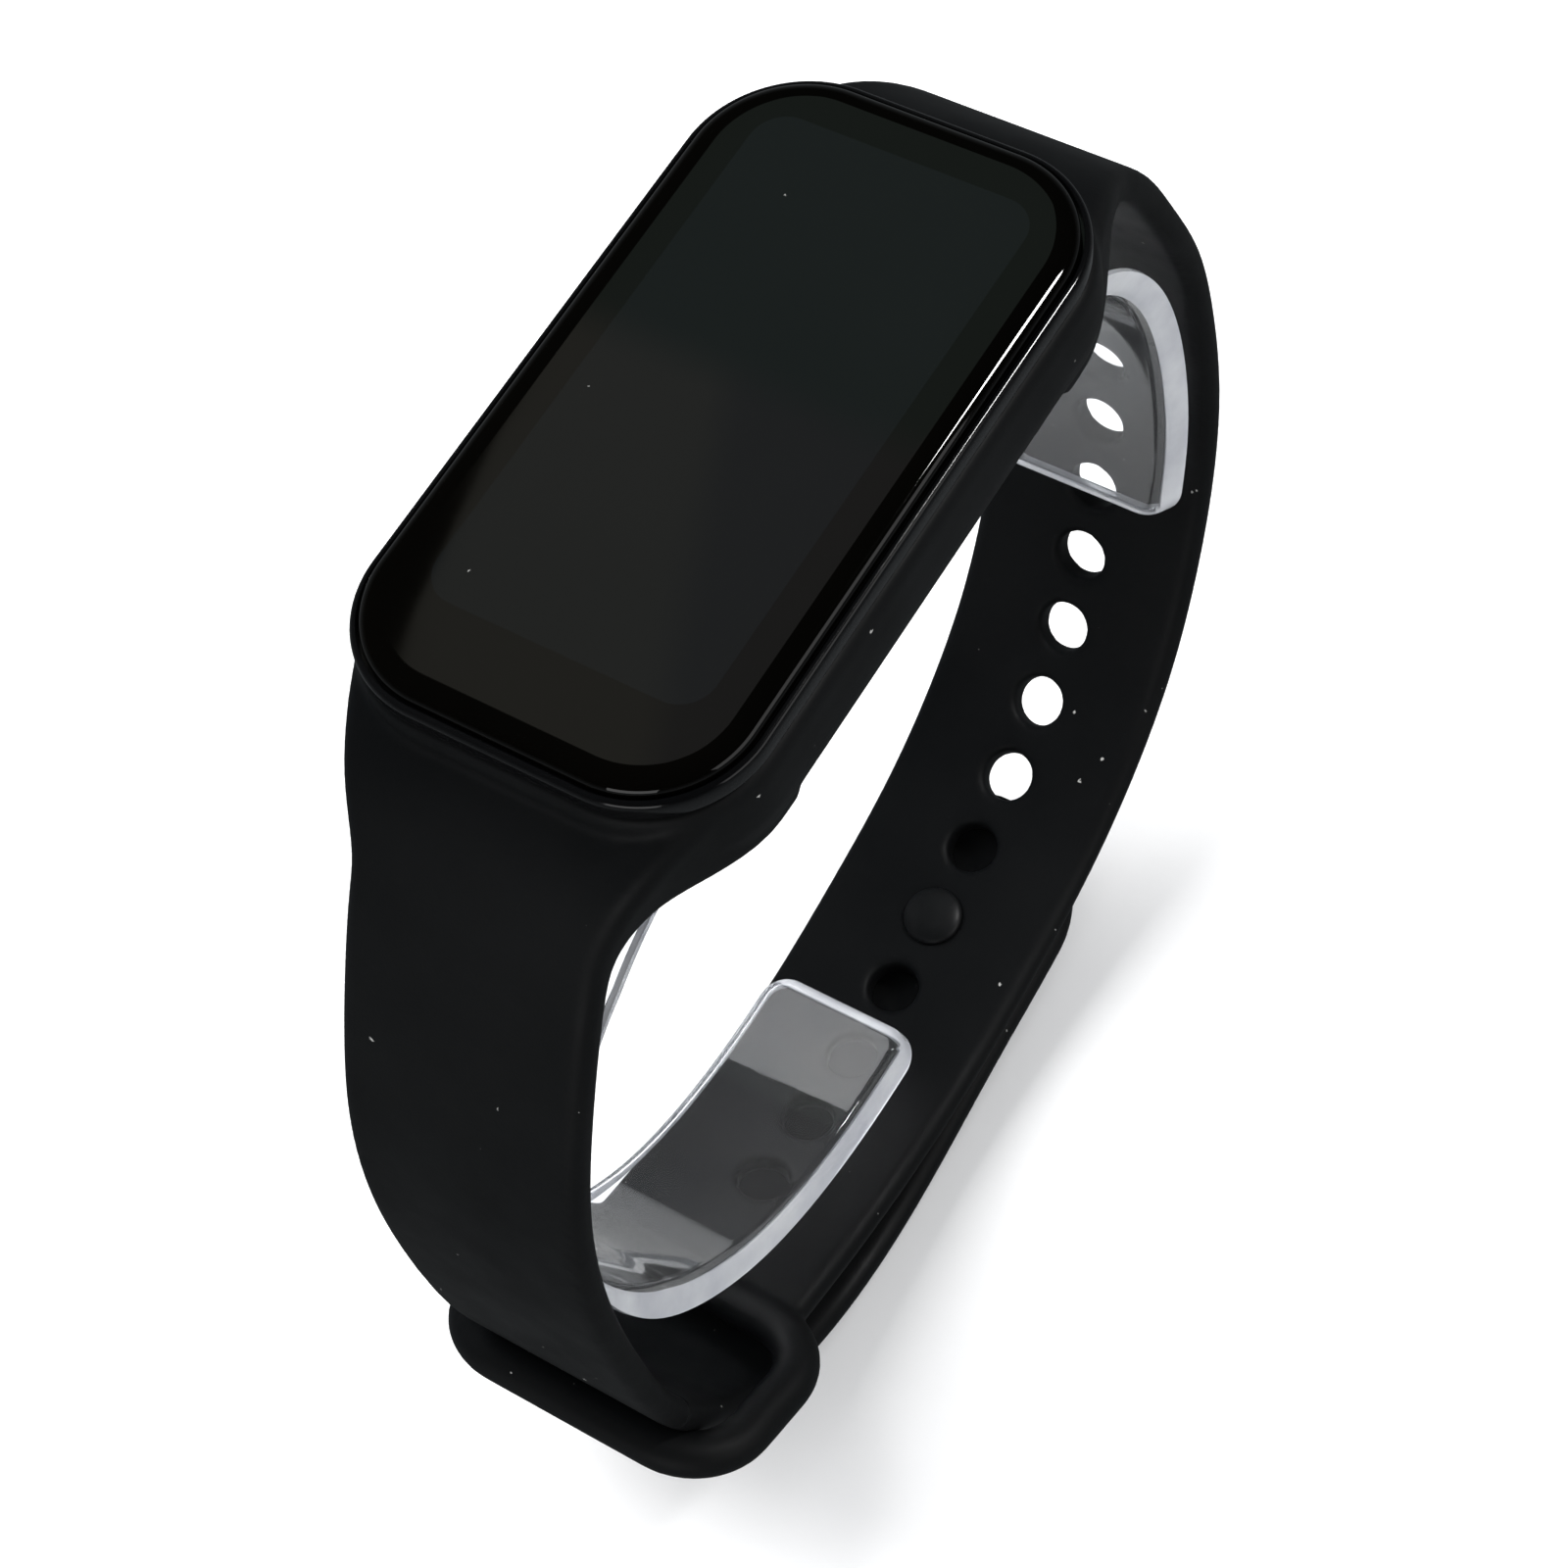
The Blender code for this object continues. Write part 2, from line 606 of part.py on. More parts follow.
def build_motor():
    centre = (MOTOR_AT[0], MOTOR_AT[1], 0.0)
    up = (0.0, 0.0, 1.0)
    can = turned("motor_can", [(MOTOR_RADIUS, -7.25), (MOTOR_RADIUS, -4.85)], centre, up)
    hollow = turned("hollow", [(MOTOR_RADIUS - 0.2, -9.0), (MOTOR_RADIUS - 0.2, -5.05)], centre, up)
    combine(can, [hollow], "DIFFERENCE")
    give_material(can, (0.7, 0.7, 0.7), 0.25, metallic=1.0)
    shaft = turned("motor_shaft", [(0.4, -7.2), (0.4, -5.07)], centre, up, segments=16)
    give_material(shaft, (0.7, 0.7, 0.7), 0.25, metallic=1.0)
    build_rotor(centre)


def build_rotor(centre):
    """Eccentric weight: a hub round the shaft with a half-disc on one side."""
    rings = []
    for z in (-7.0, -5.4):
        ring = []
        for k in range(21):
            angle = math.radians(-95.0 + 9.5 * k)
            ring.append((centre[0] + 3.0 * math.cos(angle), centre[1] + 3.0 * math.sin(angle), z))
        for k in range(9):
            angle = math.radians(110.0 + 17.5 * k)
            ring.append((centre[0] + 0.9 * math.cos(angle), centre[1] + 0.9 * math.sin(angle), z))
        rings.append(ring)
    points, faces = bridge(rings)
    rotor = build_object("motor_rotor", points, faces, pivot=(centre[0], centre[1], -6.2))
    bore = turned("bore", [(0.5, -8.0), (0.5, -4.0)], centre, (0.0, 0.0, 1.0), segments=16)
    combine(rotor, [bore], "DIFFERENCE")
    give_material(rotor, (0.45, 0.43, 0.4), 0.35, metallic=1.0)


# ---------------------------------------------------------------- packaging former

def former_half_width(distance):
    """Full width over most of the loop, narrower towards the lower end."""
    start, end = FORMER_NARROWING
    share = min(max((distance - start) / (end - start), 0.0), 1.0)
    return FORMER_HALF_WIDTH + (FORMER_END_HALF_WIDTH - FORMER_HALF_WIDTH) * share


def build_former():
    """Clear channel bent into an open C, its two lips standing on the inside of the strap."""
    line = smooth_line(FORMER_LINE, 0.5)
    under = -FORMER_DEPTH
    over = under + FORMER_SHEET
    rings = []
    length = travel_along(line)[-1]
    for distance in np.linspace(0.5, length - 0.5, int(length / 2.4)):
        half = former_half_width(distance)
        inside = half - FORMER_LIP_WIDE
        outline = [(-half, 0.0), (-half, under + 0.15), (-half + 0.15, under),
                   (half - 0.15, under), (half, under + 0.15), (half, 0.0), (inside, 0.0),
                   (inside, over), (-inside, over), (-inside, 0.0)]
        position, _, normal = station(line, distance, -1.0)
        rings.append([(position[0] + normal[0] * rise, across, position[1] + normal[1] * rise)
                      for across, rise in outline])
    former = build_object("packaging_former", *bridge(rings))
    give_material(former, (0.9, 0.92, 0.94), 0.15, transmission=0.9)


# ---------------------------------------------------------------- assembly

def main():
    clear_scene()
    build_cradle()
    build_hole_strap()
    build_stud_strap()
    build_tip()
    build_stud()
    build_glass()
    build_glass_seal()
    build_bezel()
    build_housing()
    build_back_seal()
    build_back_cover()
    build_sensor()
    build_contacts()
    build_display()
    build_board()
    build_shield()
    build_battery()
    build_motor()
    build_former()


main()
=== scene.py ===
import math

import bmesh
import bpy
import numpy as np
from mathutils import Matrix, Vector


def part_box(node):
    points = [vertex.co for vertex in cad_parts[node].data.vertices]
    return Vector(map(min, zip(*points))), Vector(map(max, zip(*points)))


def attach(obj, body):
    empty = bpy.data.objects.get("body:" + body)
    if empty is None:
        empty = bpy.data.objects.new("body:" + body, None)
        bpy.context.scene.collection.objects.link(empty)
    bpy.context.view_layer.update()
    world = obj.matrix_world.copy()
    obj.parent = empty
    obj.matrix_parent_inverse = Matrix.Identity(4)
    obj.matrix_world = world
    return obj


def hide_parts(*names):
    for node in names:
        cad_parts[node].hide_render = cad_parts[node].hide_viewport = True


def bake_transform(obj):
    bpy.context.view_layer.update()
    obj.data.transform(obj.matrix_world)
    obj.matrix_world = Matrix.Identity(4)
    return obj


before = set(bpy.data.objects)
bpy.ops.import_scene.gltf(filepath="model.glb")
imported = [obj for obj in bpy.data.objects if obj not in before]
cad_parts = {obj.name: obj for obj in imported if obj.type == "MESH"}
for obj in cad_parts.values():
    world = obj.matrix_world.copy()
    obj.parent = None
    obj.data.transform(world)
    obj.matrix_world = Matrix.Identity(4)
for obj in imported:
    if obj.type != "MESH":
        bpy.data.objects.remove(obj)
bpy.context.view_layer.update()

# Looks of a fitness tracker band.  Shapes are laid out in millimetres from the centre of the glass,
# whose place comes from the frame, and turned into metres when a piece is finished.
MM = 0.001
GLASS_LOW, GLASS_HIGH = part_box("cover_glass")
ORIGIN = Vector(((GLASS_LOW.x + GLASS_HIGH.x) / 2.0, (GLASS_LOW.y + GLASS_HIGH.y) / 2.0, GLASS_HIGH.z))


def half_size(node):
    low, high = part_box(node)
    return (high.x - low.x) / 2.0 / MM, (high.y - low.y) / 2.0 / MM


# ---------------------------------------------------------------- driving dimensions (millimetres)

# strap
STRAP_HALF_WIDTH = 8.1
STRAP_THICKNESS = 2.0
STRAP_EDGE_RADIUS = 0.95
ROOT_HALF_WIDTH = 12.2
ROOT_THICKNESS = 6.8
TAPER_START = 1.5
TAPER_END = 15.5
LAYER_GAP = 0.2
LAYER_STEP = STRAP_THICKNESS + LAYER_GAP
RING_STEP = 0.55
VOXEL = 0.26
SOFTENING = 5

HOLE_LINE = [
    (14.0, -5.8), (19.5, -5.8), (24.7, -6.6), (29.0, -10.0), (32.0, -16.1), (34.4, -23.0),
    (35.4, -31.0), (35.2, -38.5), (33.4, -46.0), (30.4, -52.6), (26.0, -58.8), (20.5, -63.2),
    (13.5, -66.4), (6.0, -68.0), (-2.0, -68.9), (-10.0, -68.6), (-17.5, -67.3), (-25.0, -65.2),
]
STUD_LINE = [
    (-14.0, -5.8), (-19.5, -5.8), (-23.9, -6.9), (-27.3, -10.2), (-30.0, -14.7), (-32.5, -19.8),
    (-34.8, -25.6), (-36.2, -31.8), (-36.7, -38.5), (-36.5, -46.0), (-35.8, -53.0),
    (-34.0, -59.7), (-30.6, -65.3), (-25.7, -69.4), (-19.3, -72.1), (-12.5, -72.8),
]
OVERLAP = [97.0, 91.0, 85.0, 79.0, 75.0]
TIP_END = 80.8
SPLIT_POINT = (-34.9, -57.0)
SPLIT_TUCK = 1.2
SPLIT_SHRINK = 0.12

HOLE_COUNT = 13
HOLE_FIRST = 45.2
HOLE_PITCH = 5.7
HOLE_RADIUS = 1.72
HOLE_RIM = 0.38
STUD_HOLE = 8
STUD_DOME = 2.05
STUD_DOME_RISE = 0.62
STUD_NECK_RADIUS = 1.25
STUD_CAP_RADIUS = 2.4
STUD_SOCKET_RADIUS = 1.3

RING_ROOT = (-24.8, -65.3)
RING_BAR = (-36.6, -60.2)
RING_HALF_WIDTH = 10.2
RING_CORNER = 4.2
RING_BAR_WIDE = 1.55
RING_BAR_THICK = 1.45
RING_SIDES = 28

# cradle
CRADLE_WALL = 0.85
CRADLE_CORNER = 7.4
CRADLE_LEVELS = [
    (3.2, -9.5), (2.2, -9.3), (1.1, -8.6), (0.35, -7.5), (0.05, -6.2), (0.0, -5.0), (0.0, -3.1),
    (0.12, -2.55), (0.45, -2.2),
]
POCKET_HALF = (22.05, 11.75)
POCKET_CORNER = 6.4
POCKET_FLOOR = -8.45
WINDOW_HALF = (18.4, 9.2)
WINDOW_CORNER = 4.2

# capsule
GLASS_HALF = half_size("cover_glass")
GLASS_CORNER = 6.5
GLASS_EDGE_WIDE = 1.35
GLASS_EDGE_DEEP = 0.74
SCREEN_HALF = (17.6, 8.75)
SCREEN_CORNER = 2.1
SCREEN_SHIFT = 1.2
BEZEL_HALF = half_size("bezel_frame")
BEZEL_CORNER = 7.1
BODY_HALF = half_size("housing_shell")
BODY_CORNER = 6.2
BOSS_HALF = (18.1, 8.9)
BOSS_CORNER = 4.0
BACK_FACE = -9.65
CONTACT_AT = (13.0, 3.2)

# clear former: width and wall height change at these distances along its line
FORMER_HALF_WIDTH = 6.6
FORMER_END_HALF_WIDTH = 5.6
FORMER_NARROWING = (88.0, 118.0)
FORMER_SHALLOW = (88.0, 98.0, 114.0, 126.0)
FORMER_SHALLOW_SHARE = 0.4
FORMER_SHEET = 0.32
FORMER_DEPTH = 2.0
FORMER_CORNER = 2.2
FORMER_WALL = 0.55
FORMER_END_WALL = 1.1
FORMER_STEEP = 0.34
FORMER_STEEP_SHARE = 0.62
FORMER_BEND = 0.75
FORMER_RIM_STEPS = 14
FORMER_WIDE_STEPS = 12
FORMER_STEP_ALONG = 1.1
FORMER_LINE = [
    (31.1, -47.2), (33.1, -41.3), (33.8, -35.3), (33.4, -28.8), (31.5, -22.4), (27.7, -17.0),
    (22.0, -13.4), (14.0, -12.1), (0.0, -11.85), (-14.0, -12.1), (-21.8, -13.5), (-28.0, -17.0),
    (-32.3, -22.9), (-34.4, -29.6), (-35.1, -37.0), (-34.0, -44.0), (-31.5, -50.3),
    (-27.5, -55.5), (-22.5, -59.4), (-16.5, -61.9), (-10.0, -63.0), (-4.0, -63.1),
]

# camera: azimuth, elevation and roll in degrees, place in millimetres from the centre of the glass
CAMERA_ANGLES = (-43.47, 58.59, -17.08)
CAMERA_PLACE = (-83.14, -83.87, 155.79)
CAMERA_LENS = 84.87
SENSOR_WIDTH = 36.0

# gap between the band and the floor
FLOOR_DROP = 0.05

# soft card over the band, mirrored by the glass
CEILING_HEIGHT = 400.0
CEILING_GLOW = 0.28


# ---------------------------------------------------------------- meshes

def solid(points, faces):
    """Temporary object in millimetres, with its faces pointing out."""
    mesh = bpy.data.meshes.new("work")
    mesh.from_pydata([tuple(point) for point in points], [], faces)
    body = bmesh.new()
    body.from_mesh(mesh)
    bmesh.ops.recalc_face_normals(body, faces=body.faces)
    body.to_mesh(mesh)
    body.free()
    obj = bpy.data.objects.new("work", mesh)
    bpy.context.scene.collection.objects.link(obj)
    return obj


def applied(obj):
    """Replace the object's mesh with what its modifiers make of it."""
    bpy.context.view_layer.update()
    depsgraph = bpy.context.evaluated_depsgraph_get()
    mesh = bpy.data.meshes.new_from_object(obj.evaluated_get(depsgraph))
    obj.modifiers.clear()
    old = obj.data
    obj.data = mesh
    bpy.data.meshes.remove(old)
    return obj


def carve(obj, cutters, operation="DIFFERENCE"):
    for cutter in cutters:
        modifier = obj.modifiers.new("carve", "BOOLEAN")
        modifier.operation = operation
        modifier.solver = "EXACT"
        modifier.object = cutter
    applied(obj)
    for cutter in cutters:
        bpy.data.objects.remove(cutter, do_unlink=True)
    return obj


def merged(objects):
    """One object holding the meshes of several."""
    body = bmesh.new()
    for obj in objects:
        body.from_mesh(obj.data)
    mesh = bpy.data.meshes.new("work")
    body.to_mesh(mesh)
    body.free()
    for obj in objects:
        bpy.data.objects.remove(obj, do_unlink=True)
    obj = bpy.data.objects.new("work", mesh)
    bpy.context.scene.collection.objects.link(obj)
    return obj


def moulded(obj, voxel, rounds):
    """Fuse overlapping closed shells into one skin and soften its edges, as a moulding has."""
    remesh = obj.modifiers.new("fuse", "REMESH")
    remesh.mode = "VOXEL"
    remesh.voxel_size = voxel
    smooth = obj.modifiers.new("soften", "SMOOTH")
    smooth.factor = 0.5
    smooth.iterations = rounds
    return applied(obj)


def piece(name, obj, materials, body, stands_for=(), smooth_angle=None):
    """Turn a work object into a finished piece of the tracker, in metres, riding on a body."""
    obj.name = name
    obj.data.name = name
    obj.data.transform(Matrix.Translation(ORIGIN) @ Matrix.Scale(MM, 4))
    slots = [polygon.material_index for polygon in obj.data.polygons]
    obj.data.materials.clear()
    for material in materials:
        obj.data.materials.append(material)
    for polygon, index in zip(obj.data.polygons, slots):
        polygon.use_smooth = True
        polygon.material_index = min(index, len(materials) - 1)
    if smooth_angle is not None:
        obj.data.set_sharp_from_angle(angle=math.radians(smooth_angle))
    if body is not None:
        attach(obj, body)
    if stands_for:
        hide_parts(*stands_for)
    return obj


def bridge(rings, closed=False, capped=True):
    size = len(rings[0])
    points = [point for ring in rings for point in ring]
    faces = []
    for k in range(len(rings) if closed else len(rings) - 1):
        here = k * size
        there = ((k + 1) % len(rings)) * size
        for j in range(size):
            following = (j + 1) % size
            faces.append((here + j, here + following, there + following, there + j))
    if capped and not closed:
        faces.append(tuple(range(size)))
        faces.append(tuple(range(len(points) - size, len(points))))
    return points, faces


def rounded_rectangle(half_x, half_y, corner, steps):
    corner = max(corner, 0.02)
    outline = []
    for k, (side_x, side_y) in enumerate(((1, 1), (-1, 1), (-1, -1), (1, -1))):
        for j in range(steps + 1):
            angle = math.radians(90.0 * (k + j / steps))
            outline.append((side_x * (half_x - corner) + corner * math.cos(angle),
                            side_y * (half_y - corner) + corner * math.sin(angle)))
    return outline


def level(half, corner, inset, z, steps=24):
    outline = rounded_rectangle(half[0] - inset, half[1] - inset, corner - inset, steps)
    return [(x, y, z) for x, y in outline]


def stack(half, corner, levels, steps=24):
    return solid(*bridge([level(half, corner, inset, z, steps) for inset, z in levels]))


def frame_band(half, corner, profile, steps=24):
    rings = [level(half, corner, inset, z, steps) for inset, z in profile]
    return solid(*bridge(rings, closed=True))


def turned(profile, origin, axis, segments=48):
    axis = Vector(axis).normalized()
    side = Vector((0.0, 1.0, 0.0))
    across = axis.cross(side)
    rings = []
    for radius, height in profile:
        centre = Vector(origin) + axis * height
        ring = []
        for j in range(segments):
            angle = 2.0 * math.pi * j / segments
            ring.append(centre + (side * math.cos(angle) + across * math.sin(angle)) * radius)
        rings.append(ring)
    return solid(*bridge(rings))


def arc(centre, radii, start, end, steps):
    """Points on an ellipse between two angles in degrees."""
    return [(centre[0] + radii[0] * math.cos(math.radians(angle)),
             centre[1] + radii[1] * math.sin(math.radians(angle)))
            for angle in np.linspace(start, end, steps)]


# ---------------------------------------------------------------- curved strap lines

def travel_along(line):
    return np.concatenate(([0.0], np.cumsum(np.linalg.norm(np.diff(line, axis=0), axis=1))))


def even_line(line, spacing):
    travel = travel_along(line)
    wanted = np.linspace(0.0, travel[-1], max(int(round(travel[-1] / spacing)), 2) + 1)
    return np.column_stack([np.interp(wanted, travel, line[:, k]) for k in (0, 1)])


def smooth_line(controls, spacing=0.25):
    """Evenly spaced points on the natural cubic spline through the control points."""
    controls = np.array(controls, dtype=float)
    knots = travel_along(controls)
    steps = np.diff(knots)
    count = len(knots)
    system = np.eye(count)
    right = np.zeros_like(controls)
    for k in range(1, count - 1):
        system[k, k - 1:k + 2] = (steps[k - 1], 2.0 * (steps[k - 1] + steps[k]), steps[k])
        slope_after = (controls[k + 1] - controls[k]) / steps[k]
        slope_before = (controls[k] - controls[k - 1]) / steps[k - 1]
        right[k] = 6.0 * (slope_after - slope_before)
    bend = np.linalg.solve(system, right)
    line = []
    for position in np.linspace(0.0, knots[-1], 2400):
        k = min(int(np.searchsorted(knots, position, side="right")) - 1, count - 2)
        before = (knots[k + 1] - position) / steps[k]
        after = (position - knots[k]) / steps[k]
        curve = (before ** 3 - before) * bend[k] + (after ** 3 - after) * bend[k + 1]
        line.append(before * controls[k] + after * controls[k + 1] + curve * steps[k] ** 2 / 6.0)
    return even_line(np.array(line), spacing)


def station(line, distance, side):
    """Position, direction and outward normal at a distance along a line."""
    travel = travel_along(line)
    reach = 0.5
    before, position, after = (
        np.array([np.interp(distance + shift, travel, line[:, k]) for k in (0, 1)])
        for shift in (-reach, 0.0, reach)
    )
    direction = after - before
    direction = direction / np.linalg.norm(direction)
    return position, direction, np.array((-direction[1], direction[0])) * side


def taper(distance):
    share = min(max((distance - TAPER_START) / (TAPER_END - TAPER_START), 0.0), 1.0)
    return 1.0 - share * share * (3.0 - 2.0 * share)


def strap_width(distance):
    return STRAP_HALF_WIDTH + (ROOT_HALF_WIDTH - STRAP_HALF_WIDTH) * taper(distance)


def strap_thickness(distance):
    return STRAP_THICKNESS + (ROOT_THICKNESS - STRAP_THICKNESS) * taper(distance - 1.2)


def strap_ring(line, distance, side, half_width, thickness, steps=6):
    position, _, outward = station(line, distance, side)
    corner = min(STRAP_EDGE_RADIUS, 0.95 * half_width, 0.48 * thickness)
    outline = rounded_rectangle(half_width, thickness / 2.0, corner, steps)
    return [(position[0] + outward[0] * rise, across, position[1] + outward[1] * rise)
            for across, rise in outline]


def strap_run(line, side, distances, width_at=strap_width, thickness_at=strap_thickness):
    rings = [strap_ring(line, distance, side, width_at(distance), thickness_at(distance))
             for distance in distances]
    return solid(*bridge(rings))


def spaced(start, end, step=RING_STEP):
    return np.linspace(start, end, max(int(round((end - start) / step)), 2) + 1)


def nearest_travel(line, point):
    gaps = np.linalg.norm(line - np.array(point), axis=1)
    return float(travel_along(line)[int(np.argmin(gaps))])


HOLE_PATH = smooth_line(HOLE_LINE)
OUTER_FOLLOW = []
for overlap_distance in OVERLAP:
    place, _, outside = station(HOLE_PATH, overlap_distance, 1.0)
    OUTER_FOLLOW.append(tuple(place + outside * LAYER_STEP))
STUD_PATH = smooth_line(STUD_LINE + OUTER_FOLLOW)
SPLIT_AT = nearest_travel(STUD_PATH, SPLIT_POINT)


# ---------------------------------------------------------------- materials

def add(tree, kind, values=None, **settings):
    made = tree.nodes.new(kind)
    for key, value in settings.items():
        setattr(made, key, value)
    for socket, value in (values or {}).items():
        made.inputs[socket].default_value = value
    return made


def noise(tree, scale, detail=3.0, stretch=None, roughness=0.5):
    """Noise texture in object space, scale in repeats per metre."""
    coordinates = add(tree, "ShaderNodeTexCoord").outputs["Object"]
    if stretch is not None:
        mapping = add(tree, "ShaderNodeMapping", {"Scale": stretch})
        tree.links.new(coordinates, mapping.inputs["Vector"])
        coordinates = mapping.outputs["Vector"]
    texture = add(tree, "ShaderNodeTexNoise",
                  {"Scale": scale, "Detail": detail, "Roughness": roughness})
    tree.links.new(coordinates, texture.inputs["Vector"])
    return texture.outputs["Fac"]


def remap(tree, value, low, high, to_low, to_high):
    ranged = add(tree, "ShaderNodeMapRange", {"From Min": low, "From Max": high,
                                              "To Min": to_low, "To Max": to_high})
    tree.links.new(value, ranged.inputs["Value"])
    return ranged.outputs["Result"]


def mixed(tree, factor, first, second):
    """Colour mix; first and second are colours or sockets."""
    mix = add(tree, "ShaderNodeMix", data_type="RGBA")
    tree.links.new(factor, mix.inputs["Factor"])
    for socket, value in ((mix.inputs[6], first), (mix.inputs[7], second)):
        if isinstance(value, tuple):
            socket.default_value = (*value, 1.0)
        else:
            tree.links.new(value, socket)
    return mix.outputs[2]


def dust(tree, cell, radius):
    """1 on sparse ragged specks: cells in repeats per metre, largest radius in metres."""
    coordinates = add(tree, "ShaderNodeTexCoord").outputs["Object"]
    wobble = add(tree, "ShaderNodeTexNoise", {"Scale": 0.6 / radius, "Detail": 1.0})
    ragged = add(tree, "ShaderNodeVectorMath", {1: (radius * 2.2,) * 3}, operation="MULTIPLY_ADD")
    tree.links.new(coordinates, wobble.inputs["Vector"])
    tree.links.new(wobble.outputs["Color"], ragged.inputs[0])
    tree.links.new(coordinates, ragged.inputs[2])
    cells = add(tree, "ShaderNodeTexVoronoi", {"Scale": cell})
    tree.links.new(ragged.outputs["Vector"], cells.inputs["Vector"])
    edge = radius * cell
    chance = add(tree, "ShaderNodeSeparateColor")
    tree.links.new(cells.outputs["Color"], chance.inputs["Color"])
    size = remap(tree, chance.outputs[0], 0.3, 1.0, 0.0, edge)
    gap = add(tree, "ShaderNodeMath", operation="SUBTRACT")
    tree.links.new(cells.outputs["Distance"], gap.inputs[0])
    tree.links.new(size, gap.inputs[1])
    return remap(tree, gap.outputs[0], 0.0, -0.35 * edge, 0.0, 1.0)


def surface(name, dark, light, roughness, blotch=60.0, grain=4000.0, depth=0.0, stretch=None,
            specks=None, sockets=None):
    """Principled material with colour blotches, uneven roughness, fine grain and dust specks."""
    material = bpy.data.materials.new(name)
    material.use_nodes = True
    tree = material.node_tree
    shader = tree.nodes["Principled BSDF"]
    patches = noise(tree, blotch, 4.0, stretch)
    colour = mixed(tree, remap(tree, patches, 0.35, 0.65, 0.0, 1.0), dark, light)
    uneven = remap(tree, noise(tree, blotch * 2.7, 5.0, stretch), 0.3, 0.7, *roughness)
    if specks is not None:
        cell, radius, speck_colour = specks
        spots = dust(tree, cell, radius)
        colour = mixed(tree, spots, colour, speck_colour)
    tree.links.new(colour, shader.inputs["Base Color"])
    tree.links.new(uneven, shader.inputs["Roughness"])
    if depth > 0.0:
        bump = add(tree, "ShaderNodeBump", {"Strength": 1.0, "Distance": depth})
        tree.links.new(noise(tree, grain, 2.0, stretch), bump.inputs["Height"])
        tree.links.new(bump.outputs["Normal"], shader.inputs["Normal"])
    for socket, value in (sockets or {}).items():
        shader.inputs[socket].default_value = value
    return material


SPECK_COLOUR = (0.30, 0.30, 0.29)


